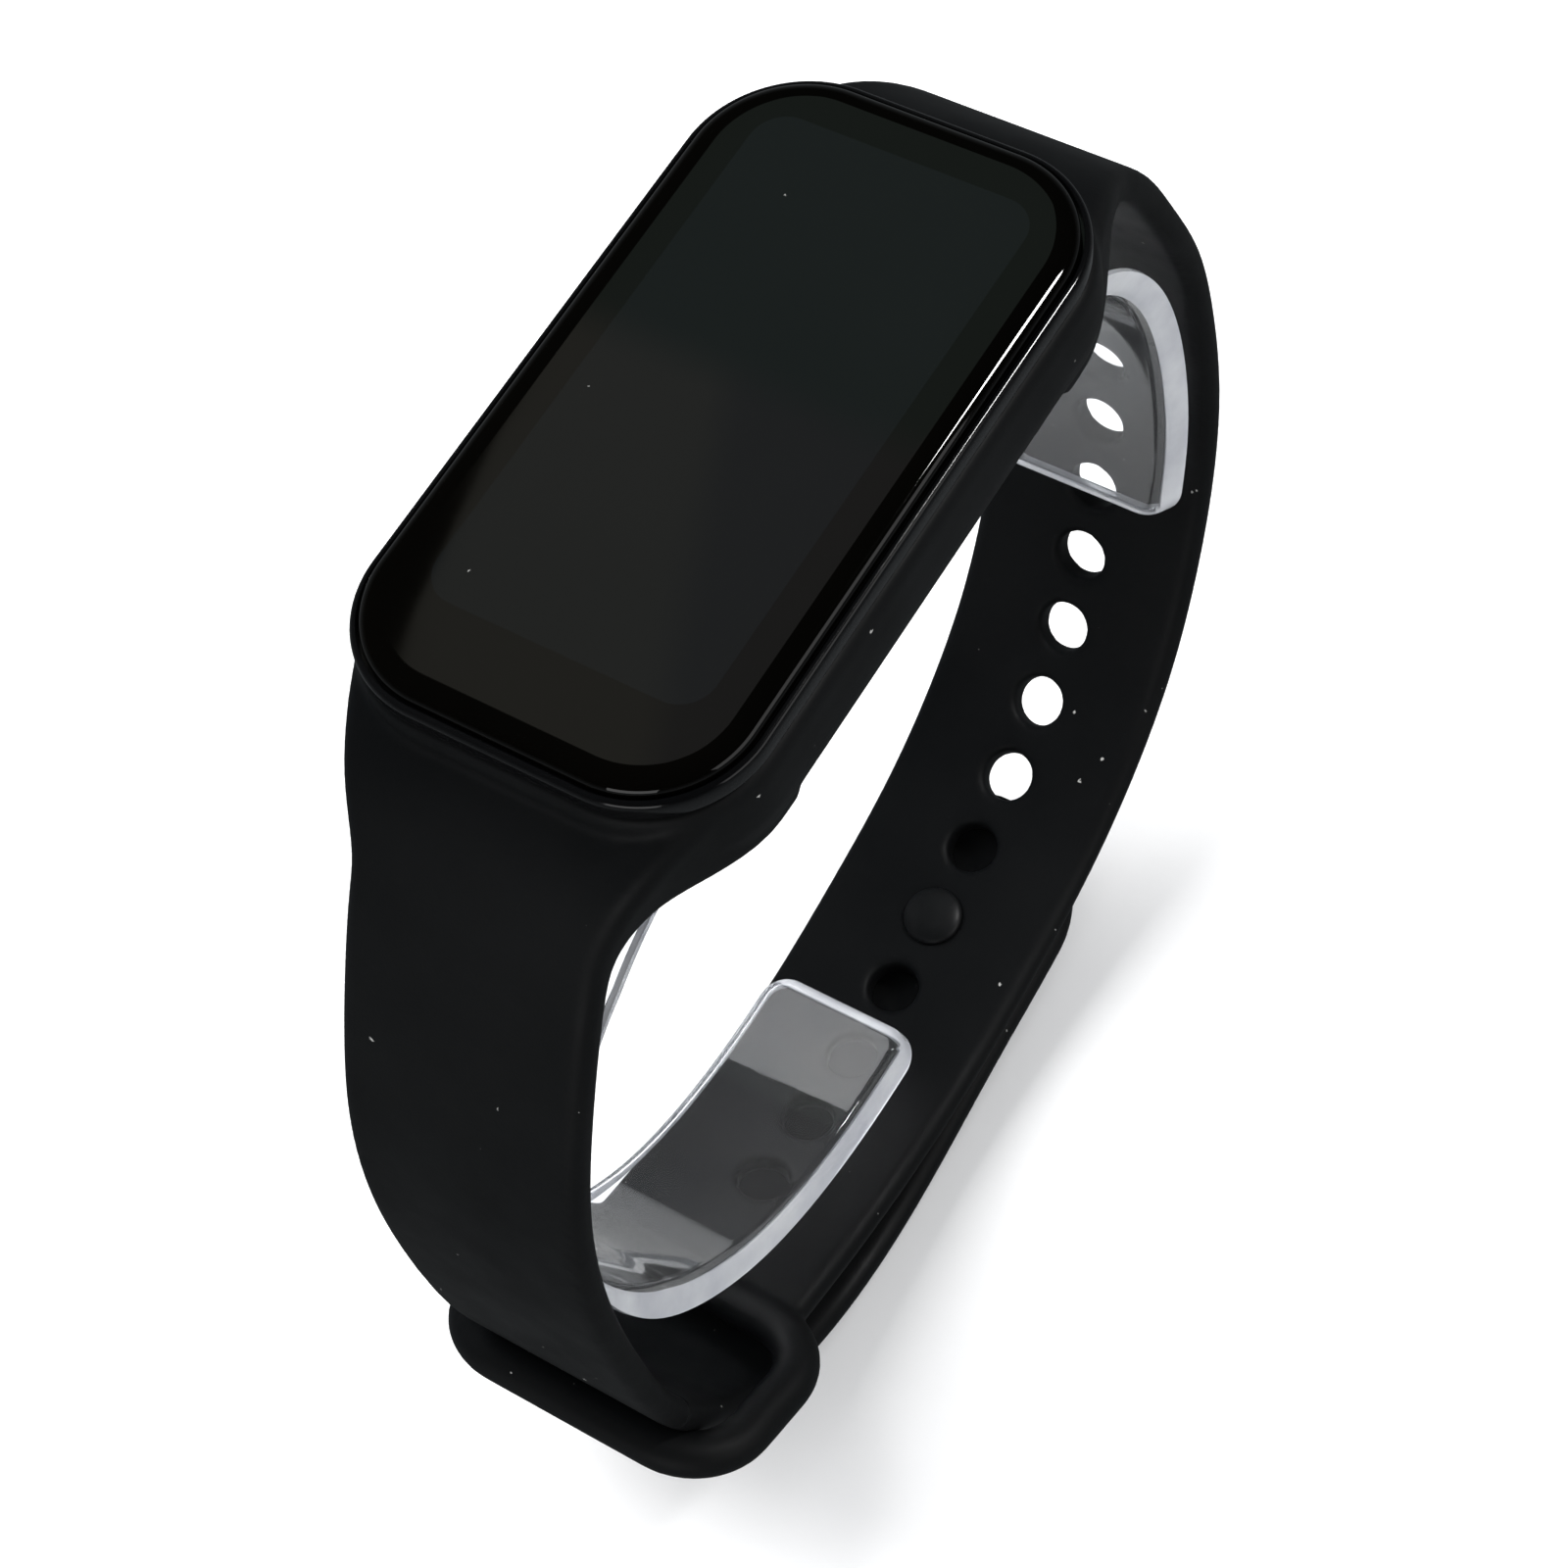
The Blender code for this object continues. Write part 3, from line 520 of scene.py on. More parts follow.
def make_materials():
    made = {}
    made["silicone"] = surface(
        "silicone", (0.0018, 0.0022, 0.0026), (0.0030, 0.0034, 0.0038), (0.48, 0.60), blotch=70.0,
        grain=5200.0, depth=6e-6, specks=(560.0, 0.00015, SPECK_COLOUR),
        sockets={"Specular IOR Level": 0.27})
    made["glass"] = surface(
        "glass_border", (0.0005, 0.0005, 0.0004), (0.0008, 0.0007, 0.0005), (0.02, 0.045),
        blotch=45.0, specks=(330.0, 0.00012, SPECK_COLOUR), sockets={"IOR": 1.52})
    made["screen"] = surface(
        "screen_area", (0.0017, 0.0022, 0.0025), (0.0024, 0.0029, 0.0032), (0.03, 0.055),
        blotch=38.0, specks=(330.0, 0.00012, SPECK_COLOUR), sockets={"IOR": 1.52})
    made["bezel"] = surface(
        "bezel_gloss", (0.0014, 0.0015, 0.0017), (0.0024, 0.0025, 0.0027), (0.09, 0.15),
        blotch=120.0, grain=2600.0, depth=2e-6, specks=(420.0, 0.00007, SPECK_COLOUR))
    made["shell"] = surface(
        "shell_plastic", (0.010, 0.0105, 0.011), (0.015, 0.0155, 0.016), (0.36, 0.46),
        blotch=90.0, grain=6500.0, depth=7e-6)
    made["back_gloss"] = surface(
        "back_window", (0.0020, 0.0022, 0.0026), (0.0035, 0.0036, 0.0042), (0.04, 0.09),
        blotch=160.0, sockets={"Coat Weight": 0.6, "Coat Roughness": 0.03})
    made["gold"] = surface(
        "contact_gold", (0.72, 0.50, 0.20), (0.86, 0.64, 0.30), (0.16, 0.28), blotch=700.0,
        grain=9000.0, depth=2e-6, sockets={"Metallic": 1.0})
    made["stud"] = surface(
        "stud_plastic", (0.003, 0.0034, 0.0038), (0.006, 0.0064, 0.0068), (0.34, 0.42),
        blotch=260.0, grain=5000.0, depth=3e-6, sockets={"Specular IOR Level": 0.35})
    made["seal"] = surface(
        "seal_foam", (0.012, 0.012, 0.012), (0.03, 0.03, 0.03), (0.65, 0.8), blotch=300.0,
        grain=7000.0, depth=1.5e-5)
    made["board"] = surface(
        "board_mask", (0.006, 0.045, 0.024), (0.012, 0.085, 0.045), (0.32, 0.48), blotch=900.0,
        grain=1600.0, depth=1.2e-5, sockets={"Coat Weight": 0.3, "Coat Roughness": 0.2})
    made["chip"] = surface(
        "chip_epoxy", (0.012, 0.012, 0.013), (0.022, 0.022, 0.024), (0.42, 0.6), blotch=1400.0,
        grain=9000.0, depth=5e-6)
    made["silicon"] = surface(
        "chip_bare", (0.018, 0.02, 0.03), (0.05, 0.05, 0.08), (0.12, 0.25), blotch=1200.0,
        grain=5000.0, depth=2e-6)
    made["led"] = surface(
        "led_lens", (0.20, 0.55, 0.24), (0.35, 0.8, 0.38), (0.12, 0.24), blotch=1800.0,
        grain=4000.0, depth=3e-6)
    made["panel"] = surface(
        "panel_glass", (0.010, 0.012, 0.015), (0.016, 0.019, 0.023), (0.08, 0.16), blotch=150.0,
        grain=3000.0, depth=2e-6)
    made["ribbon"] = surface(
        "ribbon_film", (0.36, 0.17, 0.03), (0.55, 0.29, 0.07), (0.28, 0.42), blotch=500.0,
        grain=900.0, depth=1e-5, stretch=(0.25, 3.0, 1.0))
    made["copper"] = surface(
        "antenna_copper", (0.62, 0.34, 0.20), (0.80, 0.50, 0.32), (0.25, 0.42), blotch=800.0,
        grain=3000.0, depth=4e-6, stretch=(0.3, 2.0, 1.0), sockets={"Metallic": 1.0})
    made["steel"] = surface(
        "can_steel", (0.50, 0.50, 0.49), (0.66, 0.66, 0.65), (0.22, 0.40), blotch=500.0,
        grain=4000.0, depth=4e-6, stretch=(0.15, 3.0, 1.0), sockets={"Metallic": 1.0})
    made["tungsten"] = surface(
        "weight_metal", (0.30, 0.29, 0.27), (0.46, 0.44, 0.41), (0.34, 0.50), blotch=900.0,
        grain=6000.0, depth=1e-5, sockets={"Metallic": 1.0})
    made["pouch"] = surface(
        "pouch_foil", (0.44, 0.45, 0.47), (0.60, 0.61, 0.63), (0.24, 0.40), blotch=260.0,
        grain=500.0, depth=6e-5, sockets={"Metallic": 0.8})
    made["pad"] = surface(
        "pad_foam", (0.70, 0.69, 0.64), (0.86, 0.85, 0.80), (0.75, 0.9), blotch=500.0,
        grain=3000.0, depth=4e-5)
    made["clear"] = surface(
        "clear_sheet", (0.90, 0.92, 0.95), (0.98, 0.99, 1.0), (0.01, 0.04), blotch=110.0,
        grain=55.0, depth=1e-5, specks=(420.0, 0.00006, (0.8, 0.8, 0.8)),
        sockets={"Transmission Weight": 0.984, "IOR": 1.46, "Specular IOR Level": 0.22})
    # Rim walls of the former: whiter and less clear than the sheet, partly the frosting of the bent
    # plastic, partly a painted highlight standing in for the light its lips catch.
    made["milky"] = surface(
        "clear_wall_frost_highlight", (0.74, 0.76, 0.81), (0.92, 0.94, 0.97), (0.10, 0.25), blotch=240.0,
        grain=420.0, depth=6e-5, sockets={"Transmission Weight": 0.6, "IOR": 1.46})
    made["floor"] = surface(
        "pale_floor", (0.90, 0.90, 0.90), (0.92, 0.92, 0.92), (0.85, 0.95), blotch=8.0,
        grain=900.0, depth=2e-5, sockets={"Specular IOR Level": 0.1})
    return made


# ---------------------------------------------------------------- strap

def hole_cutters():
    cutters = []
    skin = STRAP_THICKNESS / 2.0
    for k in range(HOLE_COUNT):
        position, _, outward = station(HOLE_PATH, HOLE_FIRST + k * HOLE_PITCH, 1.0)
        rim = arc((HOLE_RADIUS + HOLE_RIM, skin - HOLE_RIM), (HOLE_RIM, HOLE_RIM), 180.0, 90.0, 5)
        upper = rim + [(HOLE_RADIUS + HOLE_RIM + 0.5, skin + 1.0)]
        profile = [(radius, -height) for radius, height in reversed(upper)] + upper
        cutters.append(turned(profile, (position[0], 0.0, position[1]),
                              (outward[0], 0.0, outward[1])))
    return cutters


def capsule_cutters():
    return [stack(POCKET_HALF, POCKET_CORNER, [(0.0, POCKET_FLOOR), (0.0, 4.0)], 12),
            stack(WINDOW_HALF, WINDOW_CORNER, [(0.0, -14.0), (0.0, -6.0)], 12)]


def end_ring():
    """The loop at the end of the perforated strap: a soft tube bent to a rounded rectangle."""
    root = np.array(RING_ROOT)
    along = np.array(RING_BAR) - root
    reach = float(np.linalg.norm(along))
    along = along / reach
    normal = np.array((-along[1], along[0]))
    outline = rounded_rectangle(reach / 2.0, RING_HALF_WIDTH, RING_CORNER, 12)
    rings = []
    for k, (u, v) in enumerate(outline):
        before = np.array(outline[k - 1])
        after = np.array(outline[(k + 1) % len(outline)])
        direction = (after - before) / np.linalg.norm(after - before)
        outside = np.array((direction[1], -direction[0]))
        ring = []
        for j in range(RING_SIDES):
            angle = 2.0 * math.pi * j / RING_SIDES
            wide = RING_BAR_WIDE * math.cos(angle)
            thick = RING_BAR_THICK * math.sin(angle)
            place = root + along * (reach / 2.0 + u + outside[0] * wide) + normal * thick
            ring.append((place[0], v + outside[1] * wide, place[1]))
        rings.append(ring)
    return solid(*bridge(rings, closed=True))


def make_strap(silicone):
    """Cradle, perforated strap, ring and the stud strap as far as the ring, one moulding."""
    cradle_half = (POCKET_HALF[0] + CRADLE_WALL, half_size("strap_cradle")[1])
    cradle = stack(cradle_half, CRADLE_CORNER, CRADLE_LEVELS, 16)
    carve(cradle, capsule_cutters())
    holed = strap_run(HOLE_PATH, 1.0, spaced(0.0, travel_along(HOLE_PATH)[-1]))
    carve(holed, hole_cutters() + capsule_cutters())

    def tucked_thickness(distance):
        shrink = SPLIT_SHRINK if distance > SPLIT_AT else 0.0
        return strap_thickness(distance) - 2.0 * shrink

    def tucked_width(distance):
        shrink = SPLIT_SHRINK if distance > SPLIT_AT else 0.0
        return strap_width(distance) - shrink

    distances = list(spaced(0.0, SPLIT_AT)) + [SPLIT_AT + 0.05, SPLIT_AT + SPLIT_TUCK]
    plain = strap_run(STUD_PATH, -1.0, distances, tucked_width, tucked_thickness)
    carve(plain, capsule_cutters())
    strap = moulded(merged([cradle, holed, plain, end_ring()]), VOXEL, SOFTENING)
    return piece("strap", strap, [silicone], "strap",
                 ("strap_cradle", "strap_hole_side", "strap_stud_side"))


def stud_axis():
    """Middle of the tip where the stud sits, and the direction pointing into the loop."""
    position, _, outward = station(HOLE_PATH, HOLE_FIRST + STUD_HOLE * HOLE_PITCH, 1.0)
    middle = position + outward * LAYER_STEP
    return (middle[0], 0.0, middle[1]), (-outward[0], 0.0, -outward[1])


def make_tail(silicone):
    """Rest of the stud strap, from under the ring to the free tip."""
    end_place, _, outward = station(HOLE_PATH, TIP_END, 1.0)
    end = nearest_travel(STUD_PATH, end_place + outward * LAYER_STEP)
    round_start = end - STRAP_HALF_WIDTH

    def tail_width(distance):
        past = max(distance - round_start, 0.0)
        return max(math.sqrt(max(STRAP_HALF_WIDTH ** 2 - past ** 2, 0.0)), 0.9)

    distances = list(spaced(SPLIT_AT, round_start))
    for k in range(1, 25):
        distances.append(end - STRAP_HALF_WIDTH * (1.0 - math.sin(math.radians(3.75 * k))))
    tail = strap_run(STUD_PATH, -1.0, distances, tail_width)
    middle, inward = stud_axis()
    socket = [(STUD_SOCKET_RADIUS, -3.0), (STUD_SOCKET_RADIUS, 3.0)]
    carve(tail, [turned(socket, middle, inward)])
    tail = moulded(tail, VOXEL * 0.9, SOFTENING - 1)
    tail = piece("strap_tail", tail, [silicone], None, ("strap_tip",))
    low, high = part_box("strap_tip")
    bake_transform(tail)
    return tail


def make_stud(material):
    middle, inward = stud_axis()
    skin = STRAP_THICKNESS / 2.0
    cap = [(0.02, -skin - 0.6)] + arc((1.5, -skin - 0.1), (0.9, 0.5), 270.0, 360.0, 8)
    neck = [(STUD_CAP_RADIUS, -skin - 0.03), (STUD_NECK_RADIUS, -skin - 0.03),
            (STUD_NECK_RADIUS, skin + 1.6)]
    seat = skin + LAYER_STEP
    dome = [(STUD_SOCKET_RADIUS, seat - 0.35)]
    dome += arc((0.0, seat + 0.1), (STUD_DOME, STUD_DOME_RISE), -18.0, 88.0, 14)
    stud = turned(cap + neck + dome, middle, inward, 64)
    return piece("stud", stud, [material], "clasp_tip", ("clasp_stud",), smooth_angle=50.0)


# ---------------------------------------------------------------- capsule

def make_glass(border, screen):
    """Black-bordered cover glass with a curved edge; the screen area is its own material."""
    edge = [(GLASS_EDGE_WIDE * (1.0 - math.cos(angle)), -GLASS_EDGE_DEEP * (1.0 - math.sin(angle)))
            for angle in np.linspace(0.0, math.pi / 2.0, 18)]
    profile = [(0.12, -1.0), (0.0, -0.92)] + edge + [(GLASS_EDGE_WIDE + 0.15, 0.0)]
    rings = [level(GLASS_HALF, GLASS_CORNER, inset, z, 28) for inset, z in profile]
    rings.append([(x + SCREEN_SHIFT, y, 0.0)
                  for x, y in rounded_rectangle(*SCREEN_HALF, SCREEN_CORNER, 28)])
    glass = solid(*bridge(rings))
    screen_face = max(glass.data.polygons, key=lambda face: face.center.z + len(face.vertices))
    screen_face.material_index = 1
    return piece("glass", glass, [border, screen], "capsule", ("cover_glass",), smooth_angle=40.0)


def make_bezel(material):
    outer = arc((0.42, -1.17), (0.42, 0.42), 180.0, 95.0, 8)
    lower = arc((0.38, -1.95), (0.38, 0.25), 270.0, 180.0, 6)
    profile = outer + [(0.42, -0.79), (0.44, -1.32), (2.4, -1.32), (2.4, -1.9), (1.75, -1.9),
                       (1.75, -3.4), (0.85, -3.4), (0.85, -2.2)] + lower
    bezel = frame_band(BEZEL_HALF, BEZEL_CORNER, profile, 28)
    return piece("bezel", bezel, [material], "capsule", ("bezel_frame",), smooth_angle=38.0)


def make_housing(material):
    profile = ([(0.15, -3.45), (0.0, -3.6), (0.0, -5.3), (0.08, -5.38), (0.08, -5.5), (0.0, -5.58)]
               + [(0.0, -7.5), (0.15, -7.68), (0.9, -7.68), (0.9, -5.0), (1.8, -5.0), (1.8, -4.6),
                  (0.9, -4.6), (0.9, -3.45)])
    housing = frame_band(BODY_HALF, BODY_CORNER, profile)
    return piece("housing", housing, [material], "capsule", ("housing_shell",), smooth_angle=35.0)


def make_back(material):
    cover = stack(BODY_HALF, BODY_CORNER, [(0.4, -8.36), (0.1, -8.3), (0.0, -8.16), (0.0, -7.94)])
    edge = arc((0.5, -9.2), (0.5, 0.45), 270.0, 180.0, 8)
    boss = stack(BOSS_HALF, BOSS_CORNER, edge + [(0.0, -8.1)])
    carve(cover, [boss], "UNION")
    eye = stack((4.0, 3.2), 3.1, [(-0.25, -10.5), (-0.25, -9.62), (0.0, -9.4), (0.0, -8.0)])
    cutters = [stack((16.0, 8.0), 3.2, [(0.0, -8.95), (0.0, -7.0)]), eye]
    for side in (-1.0, 1.0):
        profile = [(1.45, -10.5), (1.45, -9.66), (1.2, -9.42), (1.2, -8.0)]
        place = (CONTACT_AT[0], CONTACT_AT[1] * side, 0.0)
        cutters.append(turned(profile, place, (0.0, 0.0, 1.0)))
    carve(cover, cutters)
    return piece("back", cover, [material], "capsule", ("back_cover",), smooth_angle=35.0)


def make_sensor_window(material):
    edge = arc((0.45, -9.35), (0.45, 0.27), 270.0, 180.0, 8)
    window = stack((3.95, 3.15), 3.05, edge + [(0.0, -8.97)])
    return piece("sensor_lens", window, [material], "capsule", ("sensor_window",), smooth_angle=40.0)


def make_contacts(material):
    for name, side in (("charge_contact_a", -1.0), ("charge_contact_b", 1.0)):
        tip = arc((0.55, BACK_FACE + 0.35), (0.5, 0.3), -90.0, 0.0, 8)
        profile = [(0.02, BACK_FACE + 0.05)] + tip + [(1.05, -8.93), (1.7, -8.93), (1.7, -8.6),
                                                      (0.8, -8.6), (0.8, -7.7)]
        place = (CONTACT_AT[0], CONTACT_AT[1] * side, 0.0)
        contact = turned(profile, place, (0.0, 0.0, 1.0))
        piece(name.replace("charge_", ""), contact, [material], "capsule", (name,),
              smooth_angle=40.0)


# ---------------------------------------------------------------- clear former

def former_height(edge):
    """Height of the tray at a distance from its rim: a steep wall, then a bend into the sheet."""
    if edge < FORMER_STEEP:
        return -FORMER_DEPTH * FORMER_STEEP_SHARE * edge / FORMER_STEEP
    share = min((edge - FORMER_STEEP) / FORMER_BEND, 1.0)
    bent = (1.0 - FORMER_STEEP_SHARE) * math.sin(share * math.pi / 2.0)
    return -FORMER_DEPTH * (FORMER_STEEP_SHARE + bent)


def former_narrowing(distance):
    """Share of the tray's full width at a distance along its line."""
    start, end = FORMER_NARROWING
    share = min(max((distance - start) / (end - start), 0.0), 1.0)
    return 1.0 + (FORMER_END_HALF_WIDTH / FORMER_HALF_WIDTH - 1.0) * share


def former_depth_share(distance):
    """Share of the full wall height left where the tray is squeezed against the stud strap."""
    share = float(np.interp(distance, FORMER_SHALLOW, (0.0, 1.0, 1.0, 0.0)))
    return 1.0 + (FORMER_SHALLOW_SHARE - 1.0) * share


def former_axis_points(length, margin, rim_steps, plain_steps):
    """Grid lines packed close to both ends of a span and even between them."""
    rim = [margin * (k / rim_steps) ** 1.5 for k in range(rim_steps + 1)]
    middle = list(np.linspace(margin, length - margin, plain_steps + 1))[1:-1]
    return rim + middle + [length - edge for edge in reversed(rim)]


def make_former(sheet_material, frosted_highlight_wall):
    """Vacuum-formed tray bent into an open loop, its rim standing against the strap."""
    line = smooth_line(FORMER_LINE)
    length = travel_along(line)[-1]
    width = 2.0 * FORMER_HALF_WIDTH
    along_steps = int(length / FORMER_STEP_ALONG)
    along_points = former_axis_points(length, FORMER_CORNER, FORMER_RIM_STEPS, along_steps)
    across_points = former_axis_points(width, FORMER_CORNER, FORMER_RIM_STEPS, FORMER_WIDE_STEPS)
    thin = FORMER_SHEET / 2.0
    points = []
    rims = []
    for along in along_points:
        for across in across_points:
            end_gap = min(along, length - along)
            side_gap = min(across, width - across)
            edge = min(end_gap, side_gap)
            place_along, place_across = along, across - FORMER_HALF_WIDTH
            if end_gap < FORMER_CORNER and side_gap < FORMER_CORNER:
                p = 1.0 - end_gap / FORMER_CORNER
                q = 1.0 - side_gap / FORMER_CORNER
                round_p = p * math.sqrt(1.0 - q * q / 2.0)
                round_q = q * math.sqrt(1.0 - p * p / 2.0)
                edge = FORMER_CORNER * (1.0 - math.hypot(round_p, round_q))
                gap = FORMER_CORNER * (1.0 - round_p)
                place_along = gap if along < length / 2.0 else length - gap
                gap = FORMER_CORNER * (1.0 - round_q)
                place_across = (gap - FORMER_HALF_WIDTH) * (1.0 if across < FORMER_HALF_WIDTH else -1.0)
            position, _, normal = station(line, place_along, -1.0)
            rims.append(min(edge, end_gap * FORMER_WALL / FORMER_END_WALL))
            height = former_height(max(edge, 0.0)) * former_depth_share(place_along) + thin
            place_across *= former_narrowing(place_along)
            points.append((position[0] + normal[0] * height, place_across,
                           position[1] + normal[1] * height))
    columns = len(across_points)
    faces = []
    for i in range(len(along_points) - 1):
        for j in range(columns - 1):
            corner = i * columns + j
            faces.append((corner, corner + 1, corner + columns + 1, corner + columns))
    former = solid(points, faces)
    # Faces near the rim get the whiter wall material: partly frosting, partly a painted highlight along
    # the lips.
    for polygon in former.data.polygons:
        reach = min(rims[vertex] for vertex in polygon.vertices)
        polygon.material_index = 1 if reach < FORMER_WALL else 0
    modifier = former.modifiers.new("sheet", "SOLIDIFY")
    modifier.thickness = FORMER_SHEET
    modifier.offset = 0.0
    modifier.use_even_offset = True
    applied(former)
    return piece("former", former, [sheet_material, frosted_highlight_wall], "packaging_former",
                 ("packaging_former",), smooth_angle=60.0)


# ---------------------------------------------------------------- the rest of the frame

def dress_frame(materials):
    finishes = {
        "glass_seal": "seal", "back_seal": "seal", "sensor_board": "board",
        "sensor_led_a": "led", "sensor_led_b": "led", "photodiode": "silicon",
        "display_panel": "panel", "display_driver": "silicon", "display_flex": "ribbon",
        "main_board": "board", "processor_chip": "chip", "memory_chip": "chip",
        "accelerometer_chip": "chip", "antenna_strip": "copper", "shield_can": "steel",
        "battery_pouch": "pouch", "battery_pad": "pad", "motor_can": "steel",
        "motor_shaft": "steel", "motor_rotor": "tungsten",
    }
    for node, finish in finishes.items():
        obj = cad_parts[node]
        obj.data.materials.clear()
        obj.data.materials.append(materials[finish])


# ---------------------------------------------------------------- stage, light and camera

def make_floor(material):
    """Pale floor just under the band, left out of reflections so that the gloss stays dark."""
    size = 3.0
    mesh = bpy.data.meshes.new("floor")
    corners = [(-size, -size), (size, -size), (size, size), (-size, size)]
    mesh.from_pydata([(x, y, -FLOOR_DROP * MM) for x, y in corners], [], [(0, 1, 2, 3)])
    floor = bpy.data.objects.new("floor", mesh)
    floor.data.materials.append(material)
    bpy.context.scene.collection.objects.link(floor)
    floor.visible_glossy = False


def area_light(name, place, target, size, power, colour=(1.0, 1.0, 1.0), glossy=True):
    """Area light at a place in metres from the glass, aimed at a point given the same way."""
    data = bpy.data.lights.new(name, "AREA")
    data.shape = "RECTANGLE"
    data.size, data.size_y = size
    data.energy = power
    data.color = colour
    light = bpy.data.objects.new(name, data)
    light.location = ORIGIN + Vector(place)
    aim = Vector(target) - Vector(place)
    light.rotation_mode = "QUATERNION"
    light.rotation_quaternion = aim.to_track_quat("-Z", "Y")
    light.visible_glossy = glossy
    bpy.context.scene.collection.objects.link(light)
    return light


def make_ceiling():
    """Large soft card over the band that only reflections see: this is what the glass mirrors.

    Its patches are laid out in millimetres on the glass and thrown up to the card's height along
    the mirrored view, so that they land where they should."""
    eye = Vector(CAMERA_PLACE)
    throw = (CEILING_HEIGHT + eye.z) / eye.z
    centre = Vector((eye.x * (1.0 - throw), eye.y * (1.0 - throw), CEILING_HEIGHT))
    corners = [(-20.6, -16.0), (30.0, -16.0), (30.0, 10.3), (2.0, 10.3), (-6.0, 9.4),
               (-16.0, 7.3), (-20.0, 6.0)]
    middle = (4.0, -3.0)
    rings = []
    for grow in (1.0, 1.07):
        rings.append([((middle[0] + (x - middle[0]) * grow) * throw,
                       (middle[1] + (y - middle[1]) * grow) * throw, 0.0) for x, y in corners])
    points, faces = bridge(rings, capped=False)
    faces.append(tuple(range(len(corners))))
    mesh = bpy.data.meshes.new("ceiling")
    mesh.from_pydata(points, [], faces)
    mesh.transform(Matrix.Scale(MM, 4))
    card = bpy.data.objects.new("ceiling", mesh)
    card.location = ORIGIN + centre * MM
    bpy.context.scene.collection.objects.link(card)
    for seen_by in ("camera", "diffuse", "transmission", "volume_scatter", "shadow"):
        setattr(card, "visible_" + seen_by, False)
    material = bpy.data.materials.new("ceiling_glow")
    material.use_nodes = True
    tree = material.node_tree
    tree.nodes.clear()
    coordinates = add(tree, "ShaderNodeTexCoord").outputs["Object"]
    axes = add(tree, "ShaderNodeSeparateXYZ")
    tree.links.new(coordinates, axes.inputs[0])
    unit = throw * MM
    across = remap(tree, axes.outputs["X"], 1.0 * unit, 3.6 * unit, 0.0, 1.0)
    slope = add(tree, "ShaderNodeMath", {1: -0.42}, operation="MULTIPLY_ADD")
    tree.links.new(axes.outputs["X"], slope.inputs[0])
    tree.links.new(axes.outputs["Y"], slope.inputs[2])
    below = remap(tree, slope.outputs[0], 1.2 * unit, -1.0 * unit, 0.0, 1.0)
    left = mixed(tree, below, (1.0, 0.98, 0.86), (0.74, 0.73, 0.72))
    colour = mixed(tree, across, left, (0.52, 0.66, 0.58))
    glow = add(tree, "ShaderNodeEmission", {"Strength": CEILING_GLOW})
    tree.links.new(colour, glow.inputs["Color"])
    output = add(tree, "ShaderNodeOutputMaterial")
    tree.links.new(glow.outputs[0], output.inputs["Surface"])
    card.data.materials.append(material)


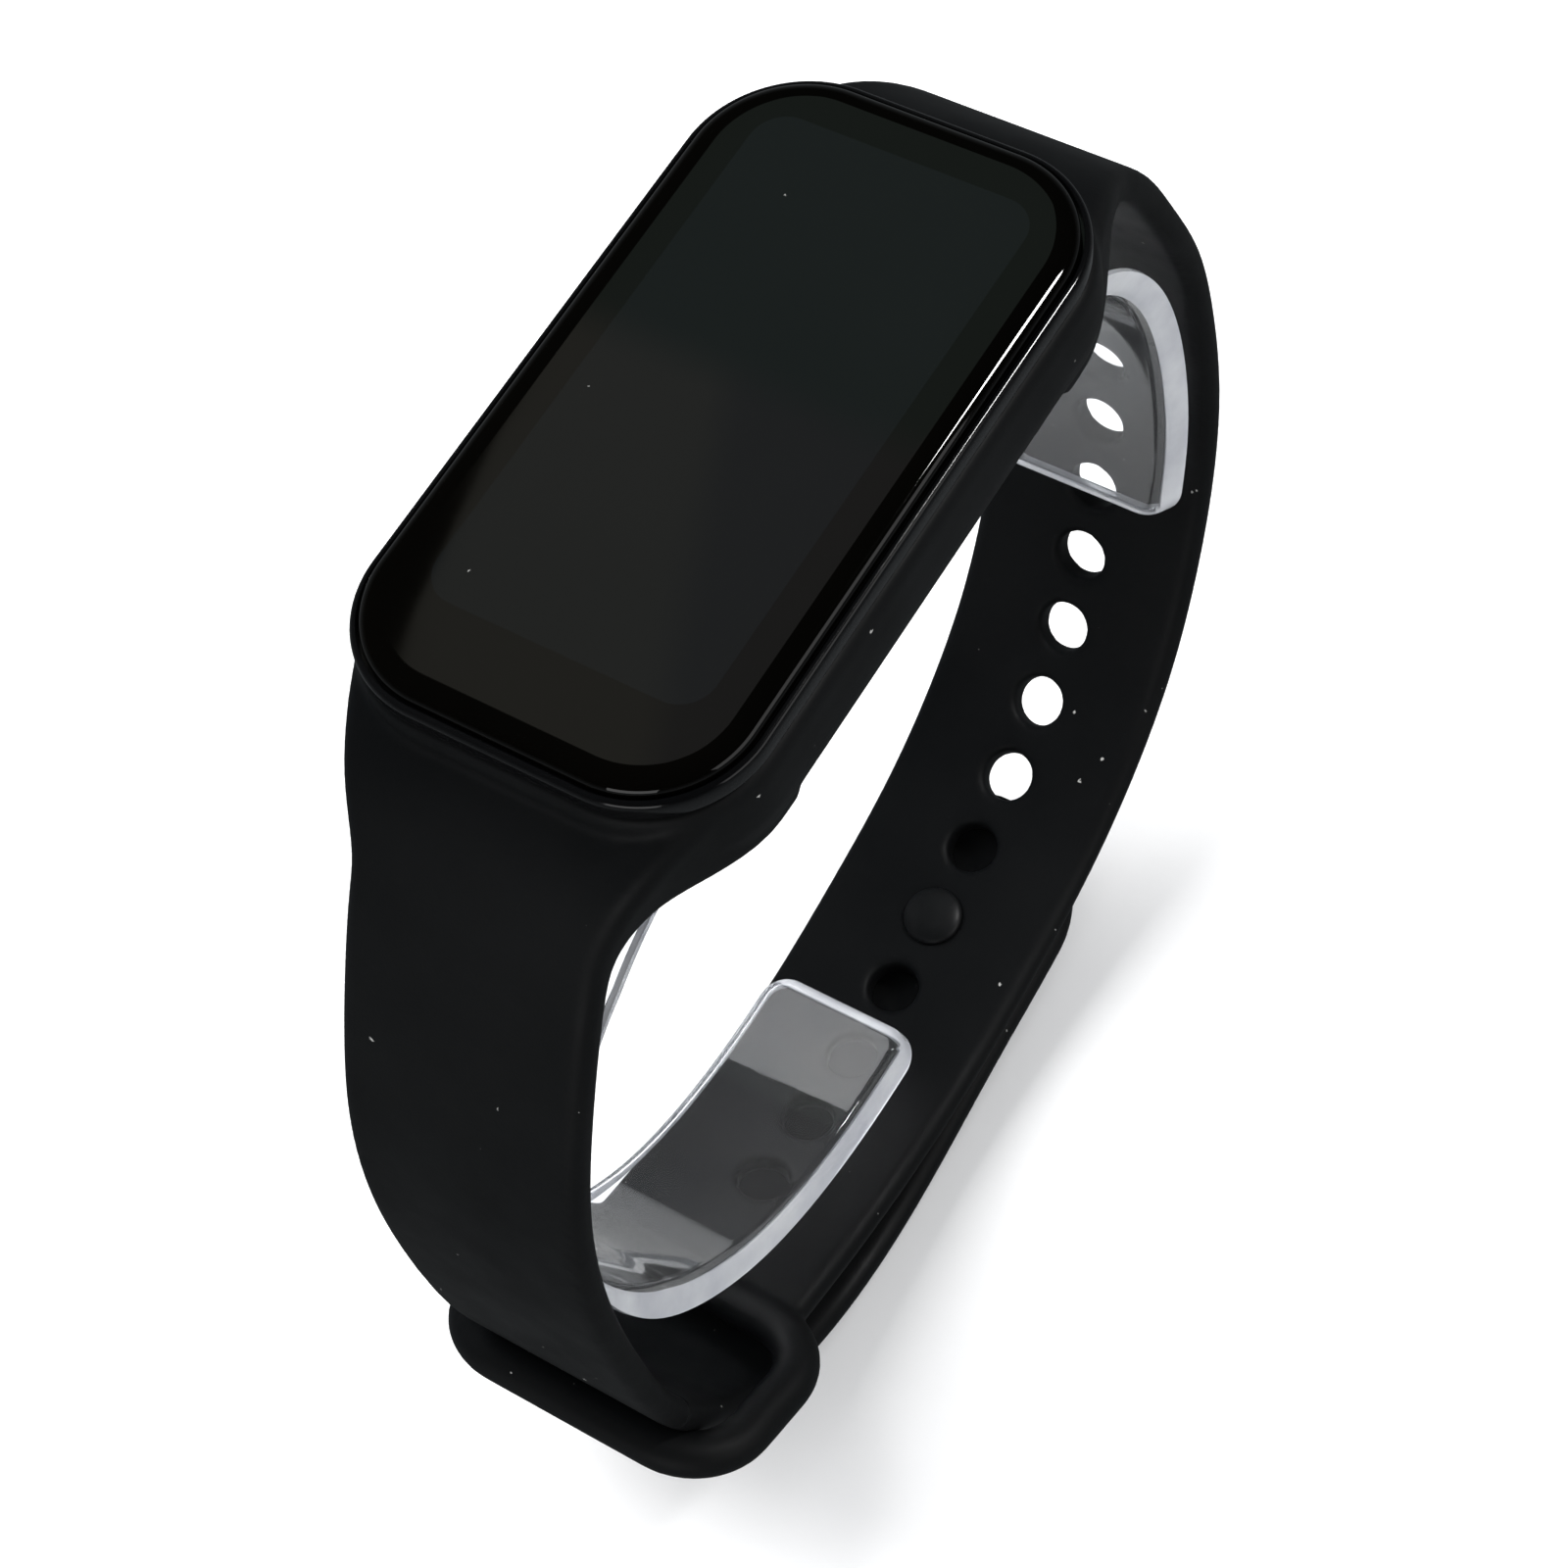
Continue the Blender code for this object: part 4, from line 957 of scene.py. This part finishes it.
def make_light():
    area_light("key", (0.04, 0.50, 0.42), (0.0, 0.0, -0.05), (0.75, 0.75), 8.5, glossy=False)
    area_light("edge_window", (0.30, -0.31, 0.40), (0.018, -0.012, 0.0), (0.05, 0.10), 0.9)
    area_light("side_softbox", (0.05, -0.55, 0.22), (0.0, 0.0, -0.03), (0.5, 0.25), 0.35)
    area_light("front_card", (-0.62, -0.12, 0.10), (-0.03, 0.0, -0.03), (0.4, 0.28), 0.50)
    world = bpy.data.worlds.new("studio")
    bpy.context.scene.world = world
    world.use_nodes = True
    tree = world.node_tree
    tree.nodes.clear()
    path = add(tree, "ShaderNodeLightPath")
    lighting = add(tree, "ShaderNodeBackground", {"Color": (0.97, 0.98, 1.0, 1.0), "Strength": 0.80})
    mirrored = add(tree, "ShaderNodeBackground", {"Color": (0.9, 0.96, 1.0, 1.0), "Strength": 0.06})
    axes = add(tree, "ShaderNodeSeparateXYZ")
    tree.links.new(add(tree, "ShaderNodeTexCoord").outputs["Generated"], axes.inputs[0])
    fade = remap(tree, axes.outputs["Z"], -0.3, 0.35, 0.14, 0.006)
    tree.links.new(fade, mirrored.inputs["Strength"])
    seen = add(tree, "ShaderNodeBackground", {"Color": (1.0, 1.0, 1.0, 1.0), "Strength": 1.0})
    for_gloss = add(tree, "ShaderNodeMixShader")
    chosen = add(tree, "ShaderNodeMixShader")
    output = add(tree, "ShaderNodeOutputWorld")
    tree.links.new(path.outputs["Is Glossy Ray"], for_gloss.inputs[0])
    tree.links.new(lighting.outputs[0], for_gloss.inputs[1])
    tree.links.new(mirrored.outputs[0], for_gloss.inputs[2])
    tree.links.new(path.outputs["Is Camera Ray"], chosen.inputs[0])
    tree.links.new(for_gloss.outputs[0], chosen.inputs[1])
    tree.links.new(seen.outputs[0], chosen.inputs[2])
    tree.links.new(chosen.outputs[0], output.inputs["Surface"])


def make_camera():
    azimuth, elevation, roll = (math.radians(angle) for angle in CAMERA_ANGLES)
    back = Vector((math.sin(azimuth) * math.cos(elevation),
                   -math.cos(azimuth) * math.cos(elevation), math.sin(elevation)))
    level_right = Vector((math.cos(azimuth), math.sin(azimuth), 0.0))
    right = level_right * math.cos(roll) + back.cross(level_right) * math.sin(roll)
    up = back.cross(right)
    data = bpy.data.cameras.new("camera")
    data.lens = CAMERA_LENS
    data.sensor_width = SENSOR_WIDTH
    camera = bpy.data.objects.new("camera", data)
    turn = Matrix((right, up, back)).transposed().to_4x4()
    camera.matrix_world = Matrix.Translation(ORIGIN + Vector(CAMERA_PLACE) * MM) @ turn
    bpy.context.scene.collection.objects.link(camera)
    bpy.context.scene.camera = camera


def main():
    bpy.context.scene.view_settings.view_transform = "Standard"
    materials = make_materials()
    make_camera()
    make_strap(materials["silicone"])
    make_tail(materials["silicone"])
    make_stud(materials["stud"])
    make_glass(materials["glass"], materials["screen"])
    make_bezel(materials["bezel"])
    make_housing(materials["shell"])
    make_back(materials["shell"])
    make_sensor_window(materials["back_gloss"])
    make_contacts(materials["gold"])
    make_former(materials["clear"], materials["milky"])
    dress_frame(materials)
    make_floor(materials["floor"])
    make_ceiling()
    make_light()


main()
